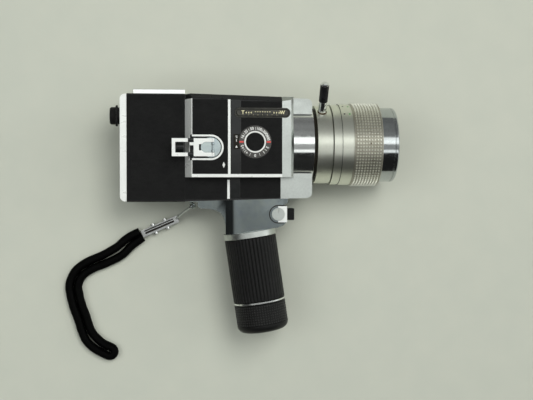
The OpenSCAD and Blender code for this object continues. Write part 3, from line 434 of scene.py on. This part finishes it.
def soften(node, width, segments):
    """Rounds the edges of a CAD part without touching its mesh."""
    part = nodes[node]
    with bpy.context.temp_override(object=part, active_object=part, selected_objects=[part]):
        bpy.ops.mesh.customdata_custom_splitnormals_clear()
    part.data.shade_smooth()
    weld = part.modifiers.new("join", "WELD")
    weld.merge_threshold = 0.002 * MM
    flat = part.modifiers.new("flat", "DECIMATE")
    flat.decimate_type = "DISSOLVE"
    flat.angle_limit = math.radians(0.05)
    edge = part.modifiers.new("edge", "BEVEL")
    edge.width = width * MM
    edge.segments = segments
    edge.limit_method = "ANGLE"
    edge.angle_limit = math.radians(32)
    edge.harden_normals = True
    edge.miter_outer = "MITER_ARC"


# ---------- shared geometry ----------


def mesh_piece(name, shape, body, look, smooth=True):
    """Piece made of a shape's vertices and faces, which rides on a body."""
    verts, faces = shape
    mesh = bpy.data.meshes.new(name)
    mesh.from_pydata([tuple(v) for v in verts], [], faces)
    mesh.validate()
    mesh.materials.append(materials[look])
    made = bpy.data.objects.new(name, mesh)
    bpy.context.scene.collection.objects.link(made)
    if smooth:
        mesh.shade_smooth()
        mesh.set_sharp_from_angle(angle=math.radians(38))
    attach(made, body)
    return made


def around(origin, axis, start):
    """Returns the point at a length, radius and angle about an axis, for lathes and rings."""
    side = axis.cross(start)

    def point(length, radius, angle):
        return origin + axis * length + (start * math.cos(angle) + side * math.sin(angle)) * radius

    return point


def lens_axis(x):
    """Lathe frame on the lens axis, from a place along X; angle 0 is +Z."""
    return around(Vector((x, LENS.y, LENS.z)), X, Z)


def lathe(point, profile, sides, ripple=None):
    """Closed ring: the profile is a closed loop of (length, radius) in metres."""
    count = len(profile)
    verts = []
    for k in range(sides):
        angle = 2 * math.pi * k / sides
        verts += [point(t, r + (ripple(t, r, angle) if ripple else 0), angle) for t, r in profile]
    faces = []
    for k in range(sides):
        a = k * count
        b = (k + 1) % sides * count
        faces += [(a + i, a + (i + 1) % count, b + (i + 1) % count, b + i) for i in range(count)]
    return verts, faces


def fluted(angle, count, depth):
    """Depth of even flutes round a knob, none at their crests and the most between them."""
    return -depth * (0.5 + 0.5 * math.cos(angle * count))


def studs(point, stations, count, size, base_r, top_r):
    """Rows of small raised squares around an axis, each a cut-off pyramid with its foot in the ring."""
    top_share = 0.27
    parts = []
    for t in stations:
        for k in range(count):
            middle_angle = 2 * math.pi * k / count
            verts = []
            for radius, half in ((base_r, size / 2), (top_r, size * top_share)):
                turn = half / radius
                for dt, da in ((-half, -turn), (half, -turn), (half, turn), (-half, turn)):
                    verts.append(point(t + dt, radius, middle_angle + da))
            faces = [(3, 2, 1, 0), (4, 5, 6, 7)]
            faces += [(i, (i + 1) % 4, (i + 1) % 4 + 4, i + 4) for i in range(4)]
            parts.append((verts, faces))
    return merge(parts)


def merge(parts):
    """One shape of several."""
    verts = []
    faces = []
    for part_verts, part_faces in parts:
        faces += [tuple(i + len(verts) for i in face) for face in part_faces]
        verts += part_verts
    return verts, faces


def plate(outline, low, high):
    """Flat piece with the given outline of (x, y), between two heights."""
    count = len(outline)
    verts = [Vector((x, y, low)) for x, y in outline] + [Vector((x, y, high)) for x, y in outline]
    faces = [tuple(reversed(range(count))), tuple(range(count, 2 * count))]
    faces += [(i, (i + 1) % count, (i + 1) % count + count, i + count) for i in range(count)]
    return verts, faces


def disc(x, y, radius, low, high, sides):
    """Flat round dot."""
    ring = [2 * math.pi * k / sides for k in range(sides)]
    return plate([(x + radius * math.cos(a), y + radius * math.sin(a)) for a in ring], low, high)


def stroke(points, width, low, high):
    """Flat line of even width along a bent route."""
    left = []
    right = []
    last = len(points) - 1
    for i, point in enumerate(points):
        along = (points[min(i + 1, last)] - points[max(i - 1, 0)]).normalized()
        side = Vector((-along.y, along.x)) * width / 2
        left.append(tuple(point + side))
        right.append(tuple(point - side))
    return plate(left + right[::-1], low, high)


def bar(a, b, width, low, high):
    """Straight flat mark from a to b."""
    a = Vector(a)
    b = Vector(b)
    side = Vector((a.y - b.y, b.x - a.x)).normalized() * width / 2
    return plate([tuple(a - side), tuple(b - side), tuple(b + side), tuple(a + side)], low, high)


def figures(text, size, depth, spot, turn):
    """Raised numbers, centred on a place and turned about Z."""
    data = bpy.data.curves.new("figures", "FONT")
    data.body = text
    data.size = size
    data.align_x = "CENTER"
    data.align_y = "CENTER"
    data.extrude = depth
    data.offset = size * 0.03
    data.resolution_u = 3
    holder = bpy.data.objects.new("figures", data)
    bpy.context.scene.collection.objects.link(holder)
    bpy.context.view_layer.update()
    mesh = bpy.data.meshes.new_from_object(holder.evaluated_get(bpy.context.evaluated_depsgraph_get()))
    bpy.data.objects.remove(holder)
    move = Matrix.Translation(spot) @ Matrix.Rotation(turn, 4, "Z")
    shape = ([move @ v.co for v in mesh.vertices], [tuple(face.vertices) for face in mesh.polygons])
    bpy.data.meshes.remove(mesh)
    return shape


def rounded_box(lo, hi, radius):
    """Solid box with rounded edges."""
    work = bmesh.new()
    bmesh.ops.create_cube(work, size=1)
    size = hi - lo
    for vertex in work.verts:
        vertex.co = Vector([lo[i] + size[i] * (vertex.co[i] + 0.5) for i in range(3)])
    bmesh.ops.bevel(work, geom=work.edges[:], offset=radius, segments=3, profile=0.5, affect="EDGES")
    verts = [vertex.co.copy() for vertex in work.verts]
    faces = [tuple(vertex.index for vertex in face.verts) for face in work.faces]
    work.free()
    return verts, faces


# ---------- strap ----------

STRAP_Z = 3.8
STRAP_D = 7.2
STRAP_GAP = 7.16
STRAP_STEPS = 120
# The middle line between the two strands, from the clip to the fold
STRAP_LINE = [
    (20, -26.5), (15, -28.8), (5, -35), (-4, -43), (-16, -49.5), (-28, -54.5), (-37, -61), (-41.5, -70.5),
    (-40.5, -80.5), (-38, -90), (-34.5, -99.5), (-32, -108), (-28, -116), (-20.5, -123), (-12, -127.5),
]
STRAP_START = 1.03
STRAP_END = len(STRAP_LINE) - 1
# Where the strands close in or part: the place on the line, how far it spreads, and the change in mm
STRAP_BULGES = ((STRAP_START, 0.5, -0.8), (3.1, 0.8, 0.45), (12.3, 0.8, 0.5), (STRAP_END, 0.5, 0.35))


def line_point(place):
    """Smooth line through the strap's points; a whole number is one of them."""
    points = [Vector((x, y, STRAP_Z)) for x, y in STRAP_LINE]
    i = min(int(place), STRAP_END - 1)
    t = place - i
    a = points[i - 1] if i > 0 else 2 * points[0] - points[1]
    b = points[i]
    c = points[i + 1]
    d = points[i + 2] if i + 2 <= STRAP_END else 2 * points[STRAP_END] - points[STRAP_END - 1]
    curve = 2 * b + (c - a) * t + (2 * a - 5 * b + 4 * c - d) * t * t + (3 * b - a - 3 * c + d) * t**3
    return curve / 2


def line_side(place):
    """Direction from the line to the first strand."""
    along = line_point(place + 0.01) - line_point(place - 0.01)
    return Vector((-along.y, along.x, 0)).normalized()


def half_gap(place):
    """Half distance of the strands: tucked in at the clip, and open after it and before the fold."""
    change = sum(size * math.exp(-(((place - spot) / reach) ** 2)) for spot, reach, size in STRAP_BULGES)
    return STRAP_GAP / 2 + change


def strap_route():
    """One strand out along the line, a round fold and the other strand back."""
    places = [STRAP_START + (STRAP_END - STRAP_START) * k / STRAP_STEPS for k in range(STRAP_STEPS + 1)]
    route = [line_point(place) + line_side(place) * half_gap(place) for place in places]
    side = line_side(STRAP_END)
    onward = Vector((side.y, -side.x, 0))
    for degrees in range(20, 180, 20):
        angle = math.radians(degrees)
        turned = side * math.cos(angle) + onward * math.sin(angle)
        route.append(line_point(STRAP_END) + turned * half_gap(STRAP_END))
    route += [line_point(place) - line_side(place) * half_gap(place) for place in reversed(places)]
    return [(point + SHIFT) * MM for point in route]


def tube(route, radius, sides, swell):
    """Closed tube along a route, with its radius changed by swell(share of the length, angle)."""
    last = len(route) - 1
    verts = []
    for i, point in enumerate(route):
        along = (route[min(i + 1, last)] - route[max(i - 1, 0)]).normalized()
        side = Z.cross(along).normalized()
        up = along.cross(side)
        for k in range(sides):
            angle = 2 * math.pi * k / sides
            r = radius * swell(i / last, angle)
            verts.append(point + side * r * math.cos(angle) + up * r * math.sin(angle))
    faces = [
        (i * sides + k, i * sides + (k + 1) % sides, (i + 1) * sides + (k + 1) % sides, (i + 1) * sides + k)
        for i in range(last)
        for k in range(sides)
    ]
    faces.append(tuple(reversed(range(sides))))
    faces.append(tuple(range(last * sides, (last + 1) * sides)))
    return verts, faces


def add_strap():
    """Strap of rolled leather, which leaves the clip and comes back to it."""
    route = strap_route()

    def roll(share, angle):
        """Groove where the leather's edges meet, and a little waviness."""
        groove = 0.09 * math.exp(-((math.sin(angle / 2 - math.pi / 4) * 7) ** 2))
        wave = 0.012 * math.sin(share * 180) + 0.008 * math.sin(share * 410 + angle * 2)
        return 0.977 - groove + wave

    shape = tube(route, STRAP_D / 2 * MM, 28, roll)
    strap = mesh_piece("strap_roll", shape, "strap", "strap_leather")
    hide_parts("wrist_strap")
    tuple(route[0])
    [tuple(p) for p in route]


def add_clip_lines():
    """Dark fold lines along the strap's clip."""
    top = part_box("strap_clip")[1].z
    front = Vector(at(41.9, -17.1, 0)[:2])
    rear = Vector(at(18.1, -27.3, 0)[:2])
    along = (rear - front).normalized()
    side = Vector((-along.y, along.x))
    lines = [
        stroke([front + side * shift, rear + side * shift], width, top - 0.3 * MM, top + 0.03 * MM)
        for shift, width in ((-1.5 * MM, 0.7 * MM), (0.5 * MM, 1.3 * MM))
    ]
    mesh_piece("clip_lines", merge(lines), "strap", "seam_black", smooth=False)


# ---------- lens ----------


def add_focus_ring():
    """Ring with square knurling between two smooth rims, and a set screw in the knurling."""
    lo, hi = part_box("focus_ring")
    length = hi.x - lo.x
    outer = (hi.z - lo.z) / 2
    root = outer - 0.95 * MM
    bore = outer - 3.2 * MM
    rear_rim = outer - 1.05 * MM
    front_rim = outer - 0.5 * MM
    overlap = 0.25 * MM
    rim = 1.1 * MM
    slope = rim * 1.2
    chamfer = 0.35 * MM
    point = lens_axis(lo.x)
    profile = [
        (-overlap, bore), (-overlap, rear_rim), (rim, rear_rim), (slope, root), (length - slope, root),
        (length - rim, front_rim), (length - chamfer, front_rim), (length, front_rim - chamfer),
        (length, bore),
    ]
    # The ring under the studs gets the darkened copy of the knurl's metal: painted shade between the studs
    made = mesh_piece("focus_grip", lathe(point, profile, 144), "focus", "focus_root_shaded_metal")
    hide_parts("focus_ring")

    rows = 9
    pitch = (length - 2 * rim) / rows
    stations = [rim + pitch * (row + 0.5) for row in range(rows)]
    knurl = studs(point, stations, 80, 1.62 * MM, root - 0.1 * MM, outer)
    mesh_piece("focus_knurl", knurl, "focus", "knurl_metal")

    hole = around(point(stations[rows // 2] + pitch / 2, 0, 0), Z, X)
    low = outer - 0.5 * MM
    slot = outer - 0.3 * MM
    top = outer - 0.02 * MM
    screw = [(low, CENTRE), (low, 0.6 * MM), (top, 0.6 * MM), (top, 0.35 * MM), (slot, 0.3 * MM),
             (slot, CENTRE)]
    mesh_piece("focus_set_screw", lathe(hole, screw, 20), "focus", "old_brass")


def add_lens_dots():
    """Coloured index dots on the fixed ring, on the upper side."""
    lo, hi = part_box("index_ring")
    outer = (hi.z - lo.z) / 2
    radius = 0.75 * MM
    dot = [(outer - 0.5 * MM, CENTRE), (outer - 0.5 * MM, radius), (outer + 0.05 * MM, radius),
           (outer + 0.08 * MM, CENTRE)]
    for name, x, angles, look in (
        ("index_dots_black", 178.4, (-46, -67), "ink_black"),
        ("index_dots_green", 182.6, (-46, -66), "ink_green"),
    ):
        parts = []
        for degrees in angles:
            angle = math.radians(degrees)
            out = (Z * math.cos(angle) - Y * math.sin(angle)).normalized()
            parts.append(lathe(around(Vector((station(x), LENS.y, LENS.z)), out, X), dot, 20))
        mesh_piece(name, merge(parts), "camera", look)


def add_zoom_lever_knob():
    """Knurled black knob with a small hole in its bright end, and the worn foot of its stem."""
    lever = math.radians(36)
    out = Y * math.cos(lever) + Z * math.sin(lever)
    point = around(Vector((middle("zoom_lever").x, LENS.y, LENS.z)), out, X)
    zoom_r = 31.8 * MM
    start = zoom_r + 9.6 * MM
    end = start + 15.2 * MM
    r = 3.5 * MM
    bore = 1.5 * MM
    flutes = 26
    profile = [(start, bore), (start, r - 0.5 * MM), (start + 0.4 * MM, r)]
    profile += [(start + (end - start) * k / 5, r) for k in range(1, 5)]
    profile += [(end - 0.3 * MM, r), (end, r - 0.3 * MM), (end, bore)]

    def flute(t, radius, angle):
        inside = start + 0.5 * MM < t < end - 0.4 * MM and radius > 2 * MM
        return fluted(angle, flutes, 0.14 * MM) if inside else 0

    shape = lathe(point, profile, flutes * 6, flute)
    knob = mesh_piece("zoom_lever_grip", shape, "zoom", "body_paint")
    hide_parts("lever_knob")

    low = zoom_r - 0.6 * MM
    high = zoom_r + 0.6 * MM
    foot = [(low, 3.1 * MM), (low, 3.75 * MM), (zoom_r + 0.35 * MM, 3.75 * MM), (high, 3.5 * MM),
            (high, 3.1 * MM)]
    mesh_piece("zoom_lever_foot", lathe(point, foot, 48), "zoom", "old_brass")

    top = end + 1.2 * MM
    head = [(end - 1 * MM, CENTRE), (end - 1 * MM, r - 0.45 * MM), (end + 0.4 * MM, r - 0.3 * MM),
            (top - 0.3 * MM, r - 0.35 * MM), (top, r - 0.8 * MM), (top, 0.45 * MM),
            (top - 0.5 * MM, 0.4 * MM), (top - 0.5 * MM, CENTRE)]
    mesh_piece("zoom_lever_end", lathe(point, head, 40), "zoom", "chrome")


def add_lens_seams():
    """Black flange behind the zoom ring, and the dark lines where the barrel's rings meet."""
    for name, body, rear, front, radius in (
        ("zoom_flange", "zoom", 153.95, 155.95, 29.42), ("barrel_seam_1", "camera", 168.6, 168.95, 32.74),
        ("barrel_seam_2", "camera", 175.45, 175.75, 33.13), ("front_seam", "focus", 208.15, 208.5, 30.53),
    ):
        start = station(rear)
        length = station(front) - start
        outer = radius * MM
        inner = outer - 0.6 * MM
        profile = [(0, inner), (0, outer), (length, outer), (length, inner)]
        mesh_piece(name, lathe(lens_axis(start), profile, 128), body, "seam_black")


# ---------- grip ----------

GRIP_RAKE = math.radians(8.3)
GRIP_R = 21 * MM


def grip_axis():
    """Lathe frame down the grip, with 0 at the top of the ribbed sleeve; angle 0 is +Z."""
    down = Vector((math.sin(GRIP_RAKE), -math.cos(GRIP_RAKE), 0))
    return around(at(104.3, -29.4, 35), down, Z)


def add_grip_sleeve():
    """Sleeve with narrow grooves between its ribs."""
    bore = 19.3 * MM
    length = 52 * MM
    ribs = 44
    steps = 12
    end = [(0, bore), (0, GRIP_R - 0.7 * MM), (0.5 * MM, GRIP_R - 0.15 * MM), (1.1 * MM, GRIP_R)]
    profile = end + [(length * k / 9, GRIP_R) for k in range(1, 9)]
    profile += [(length - t, r) for t, r in reversed(end)]

    def rib(t, r, angle):
        groove = max(0.0, math.cos(angle * ribs) - 0.35) / 0.65
        inside = 1 * MM <= t <= length - 1 * MM and r > 20 * MM
        return -0.75 * MM * groove if inside else 0

    shape = lathe(grip_axis(), profile, ribs * steps, rib)
    made = mesh_piece("grip_ribs", shape, "camera", "grip_rubber")
    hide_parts("grip_sleeve")


def add_battery_cap():
    """Cap with fine square knurling and a smooth rounded end."""
    neck = 46 * MM
    top = 53.7 * MM
    floor = 66 * MM
    end = 77.2 * MM
    bore = 17.7 * MM
    neck_r = 19.1 * MM
    rim = 6 * MM
    root = GRIP_R - 0.65 * MM
    smooth_r = GRIP_R - 0.05 * MM
    axis_r = 0.01 * MM
    knurl_start = top + 0.9 * MM
    knurl_end = end - rim - 0.6 * MM
    profile = [(neck, bore), (neck, neck_r), (top, neck_r), (top, GRIP_R - 0.5 * MM),
               (top + 0.4 * MM, GRIP_R - 0.1 * MM), (knurl_start, root), (knurl_end, root),
               (knurl_end + 0.5 * MM, smooth_r)]
    for k in range(9):
        turn = math.pi / 2 * k / 8
        profile.append((end - rim + rim * math.sin(turn), smooth_r - rim * (1 - math.cos(turn))))
    profile += [(end - 0.02 * MM, 9 * MM), (end - 0.5 * MM, 8.4 * MM), (end - 0.5 * MM, axis_r)]
    profile += [(floor, axis_r), (floor, bore)]
    point = grip_axis()
    shape = lathe(point, profile, 136)
    made = mesh_piece("battery_cap_body", shape, "battery_cap", "grip_rubber")
    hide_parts("battery_cap")

    rows = 8
    pitch = (knurl_end - knurl_start) / rows
    stations = [knurl_start + pitch * (row + 0.5) for row in range(rows)]
    knurl = studs(point, stations, 62, 1.5 * MM, root - 0.1 * MM, GRIP_R - 0.02 * MM)
    mesh_piece("battery_cap_knurl", knurl, "battery_cap", "cap_knurl")


def add_lock_marks():
    """Dark U-shaped line round the trigger lock, open towards the trigger, and the end plate beside it."""
    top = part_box("grip_mount")[1].z
    centre = Vector((LOCK.x, LOCK.y))
    reach = 7 * MM
    arc = [math.radians(90 + 180 * k / 16) for k in range(17)]
    route = [centre + Vector((5.6 * MM, reach))]
    route += [centre + Vector((math.cos(a), math.sin(a))) * reach for a in arc]
    route.append(centre + Vector((4.6 * MM, -reach)))
    line = stroke(route, 0.8 * MM, top - 0.5 * MM, top + 0.03 * MM)
    mesh_piece("lock_groove", line, "camera", "seam_black", smooth=False)
    end = centre + Vector((7.2 * MM, 0))
    face = stroke([centre, end], 12.9 * MM, top - 0.5 * MM, top + 0.02 * MM)
    mesh_piece("lock_plate", face, "camera", "bright_metal", smooth=False)


# ---------- controls ----------

# Angle in degrees of each label of the dial, and of the ticks between them
DIAL_LABELS = (
    (158, "16"), (132, "25"), (104, "50"), (72, "100"), (42, "200"), (18, "400"),
    (-158, "+2"), (-132, "+1"), (-90, "0"), (-50, "1"), (-24, "2"),
)
DIAL_TICKS = (145, 118, 88, 57, 30, -145, -112, -70, -37)


def add_dial():
    """Toothed disc with a white ring round a black hub, on its shaft."""
    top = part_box("exposure_dial")[1].z
    face = top - 0.16 * MM
    low = top - 0.7 * MM
    shaft_low = 61 * MM
    shaft_r = 3 * MM
    hub_r = 7.35 * MM
    ring_r = 8.6 * MM
    radius = 12.8 * MM
    bore = 2 * MM
    point = around(Vector((DIAL.x, DIAL.y, 0)), Z, X)
    profile = [(low, bore), (low, radius), (face - 0.2 * MM, radius), (face, radius - 0.3 * MM),
               (face, ring_r), (face, bore)]

    def teeth(t, r, angle):
        return fluted(angle, 72, 0.14 * MM) if r > radius - 0.2 * MM else 0

    ring = mesh_piece("dial_disc", lathe(point, profile, 432, teeth), "dial", "dial_metal")
    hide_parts("exposure_dial")
    edge = top - 0.06 * MM
    foot = face - 0.1 * MM
    band = [(foot, 7.3 * MM), (foot, ring_r), (edge, 8.5 * MM), (top, 8.3 * MM), (top, 7.6 * MM),
            (edge, hub_r)]
    mesh_piece("dial_white_ring", lathe(point, band, 96), "dial", "ink_white")
    hub = [(foot, CENTRE), (foot, hub_r), (edge, 7.3 * MM), (top - 0.03 * MM, 6.8 * MM),
           (top - 0.01 * MM, CENTRE)]
    mesh_piece("dial_hub", lathe(point, hub, 96), "dial", "leatherette")
    shaft_top = face - 0.2 * MM
    shaft = [(shaft_low, CENTRE), (shaft_low, shaft_r), (shaft_top, shaft_r), (shaft_top, CENTRE)]
    mesh_piece("dial_shaft", lathe(point, shaft, 40), "dial", "steel")
    add_dial_marks(face)


def add_dial_marks(face):
    """Numbers, ticks and two red marks on the dial."""
    marks = []
    label_r = 10.55 * MM
    for degrees, text in DIAL_LABELS:
        angle = math.radians(degrees)
        spot = Vector((DIAL.x + label_r * math.cos(angle), DIAL.y + label_r * math.sin(angle), face))
        marks.append(figures(text, 3.0 * MM, 0.04 * MM, spot, angle - math.pi / 2))
    centre = Vector((DIAL.x, DIAL.y))
    low = face - 0.02 * MM
    for degrees in DIAL_TICKS:
        angle = math.radians(degrees)
        out = Vector((math.cos(angle), math.sin(angle)))
        inner = centre + out * 9.3 * MM
        outer = centre + out * 11.6 * MM
        marks.append(bar(inner, outer, 0.28 * MM, low, face + 0.04 * MM))
    mesh_piece("dial_figures", merge(marks), "dial", "ink_white", smooth=False)
    red = []
    for side in (-1, 1):
        inner = (DIAL.x + side * 9 * MM, DIAL.y)
        outer = (DIAL.x + side * 12.3 * MM, DIAL.y)
        red.append(bar(inner, outer, 1.3 * MM, low, face + 0.05 * MM))
    mesh_piece("dial_red_marks", merge(red), "dial", "ink_red", smooth=False)


def add_index_marks():
    """White triangle and ticks on the tab beside the dial, and the diamond on the housing."""
    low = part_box("band_panel")[1].z
    high = low + 0.1 * MM
    x = station(91.3)
    y = DIAL.y
    triangle = [(x - 0.9 * MM, y - 4.6 * MM), (x + 0.9 * MM, y - 4.6 * MM), (x, y - 2.6 * MM)]
    marks = [
        plate(triangle, low, high),
        bar((x - 0.8 * MM, y + 4.4 * MM), (x + 0.8 * MM, y + 4.4 * MM), 0.5 * MM, low, high),
        bar((x - 0.5 * MM, y + 3.2 * MM), (x + 0.9 * MM, y + 3.2 * MM), 0.4 * MM, low, high),
        bar((x, y + 0.2 * MM), (x, y + 2.1 * MM), 0.5 * MM, low, high),
    ]
    mesh_piece("index_marks", merge(marks), "camera", "ink_white", smooth=False)
    outline = [(x - 2.2 * MM, y - 5.6 * MM), (x + 2.6 * MM, y - 5.6 * MM), (x + 2.6 * MM, y + 6 * MM),
               (x - 2.2 * MM, y + 6 * MM)]
    tab = plate(outline, low - 0.3 * MM, low + 0.02 * MM)
    mesh_piece("index_tab", tab, "camera", "seam_black", smooth=False)
    spot = at(81.4, 28.8, 66.4)
    half_width = 1.1 * MM
    half_height = 2.4 * MM
    outline = [(spot.x, spot.y - half_height), (spot.x + half_width, spot.y), (spot.x, spot.y + half_height),
               (spot.x - half_width, spot.y)]
    diamond = plate(outline, spot.z - 0.1 * MM, spot.z + 0.12 * MM)
    mesh_piece("film_plane_mark", diamond, "camera", "ink_white", smooth=False)


def add_rocker_marks():
    """Letter and three arrowheads towards each end of the rocker, and rows of dots between them."""
    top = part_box("zoom_rocker")[1].z
    low = top - 0.03 * MM
    high = top + 0.05 * MM
    half = 15.5 * MM
    x = ROCKER.x
    y = ROCKER.y
    marks = []
    for side, letter in ((-1, "T"), (1, "W")):
        spot = Vector((x + side * half, y + 0.1 * MM, top))
        marks.append(figures(letter, 3.8 * MM, 0.05 * MM, spot, 0))
        for k in range(3):
            foot = x + side * (half - (2.9 + 2.0 * k) * MM)
            tip = foot + side * 1.0 * MM
            arrow = [(foot, y - 0.9 * MM), (tip, y), (foot, y + 0.9 * MM)]
            marks.append(plate(arrow[::side], low, high))
    for k in range(-3, 4):
        marks.append(disc(x + k * 1.9 * MM, y + 0.7 * MM, 0.42 * MM, low, high, 16))
        marks.append(disc(x + k * 3.7 * MM, y - 1.75 * MM, 0.22 * MM, low, high, 12))
    mesh_piece("rocker_marks", merge(marks), "rocker", "ink_gold", smooth=False)


def add_crank_details():
    """Black pieces on the arm's two bars, which paint the shade and dark reflection where the bars cross the
    well's edge, and the small catch between them.
    """
    lo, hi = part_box("crank_arm")
    y = middle("crank_arm").y
    half_width = 1.55 * MM
    for index, side in enumerate((-1, 1)):
        mid = y + side * 5.6 * MM
        low = Vector((station(53.4), mid - half_width, lo.z + 0.04 * MM))
        high = Vector((station(57.9), mid + half_width, hi.z + 0.12 * MM))
        # Black box round each bar: painted shade and dark reflection on the bar
        sleeve = rounded_box(low, high, 0.3 * MM)
        mesh_piece(f"crank_bar_shade_{index + 1}", sleeve, "crank_arm", "gloss_black")
    low = Vector((station(54.6), y + 1.4 * MM, lo.z + 0.3 * MM))
    high = Vector((station(58.6), y + 3.9 * MM, lo.z + 1.8 * MM))
    mesh_piece("crank_catch", rounded_box(low, high, 0.35 * MM), "crank_arm", "bright_metal")


# ---------- rear ----------


def add_diopter_ring():
    """Ring with rounded teeth for the eyesight correction."""
    lo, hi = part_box("diopter_ring")
    length = hi.x - lo.x
    radius = (hi.z - lo.z) / 2
    bore = 4.36 * MM
    chamfer = 0.3 * MM
    point = around(Vector((lo.x, FINDER.y, FINDER.z)), X, Z)
    profile = [(0, bore), (0, radius - chamfer), (chamfer, radius), (length - chamfer, radius),
               (length, radius - chamfer), (length, bore)]

    def teeth(t, r, angle):
        return fluted(angle, 36, 0.35 * MM) if r > 8 * MM else 0

    shape = lathe(point, profile, 216, teeth)
    made = mesh_piece("diopter_knurl", shape, "diopter", "matte_black")
    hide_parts("diopter_ring")


def add_rear_panel():
    """Leather-grained field on the rear face, inside the bezel's bright frame."""
    lo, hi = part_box("rear_bezel")
    frame_width = 4.4 * MM
    low = Vector((lo.x + 0.15 * MM, at(0, 6.4, 0).y, lo.z + frame_width))
    high = Vector((lo.x + 0.9 * MM, at(0, 57.6, 0).y, hi.z - frame_width))
    panel = rounded_box(low, high, 0.12 * MM)
    mesh_piece("rear_covering", panel, "camera", "leatherette")


# ---------- the scene ----------

materials = {name: finish(name, **look) for name, look in FINISHES.items()}
materials.update({name: ink(name, color) for name, color in INKS.items()})
add_camera()
add_strap()
paint_cad_nodes()
for node_name, edge_width in SOFT_EDGES.items():
    soften(node_name, edge_width, segments=4 if edge_width > 0.5 else 2)
add_focus_ring()
add_lens_dots()
add_lens_seams()
add_lock_marks()
add_clip_lines()
add_zoom_lever_knob()
add_grip_sleeve()
add_battery_cap()
add_dial()
add_index_marks()
add_rocker_marks()
add_crank_details()
add_diopter_ring()
add_rear_panel()
add_floor(materials["floor"])
add_world()
add_light("key", (0.36, 0.68, 1.6), 13.8, (1.0, 1.0, 0.97))
add_light("fill", (-0.9, 0.0, 1.2), 3.4, (0.97, 1.0, 1.0))
bpy.context.scene.view_settings.view_transform = "Standard"

[[list(corner) for corner in box] for box in (cad_box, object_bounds())]
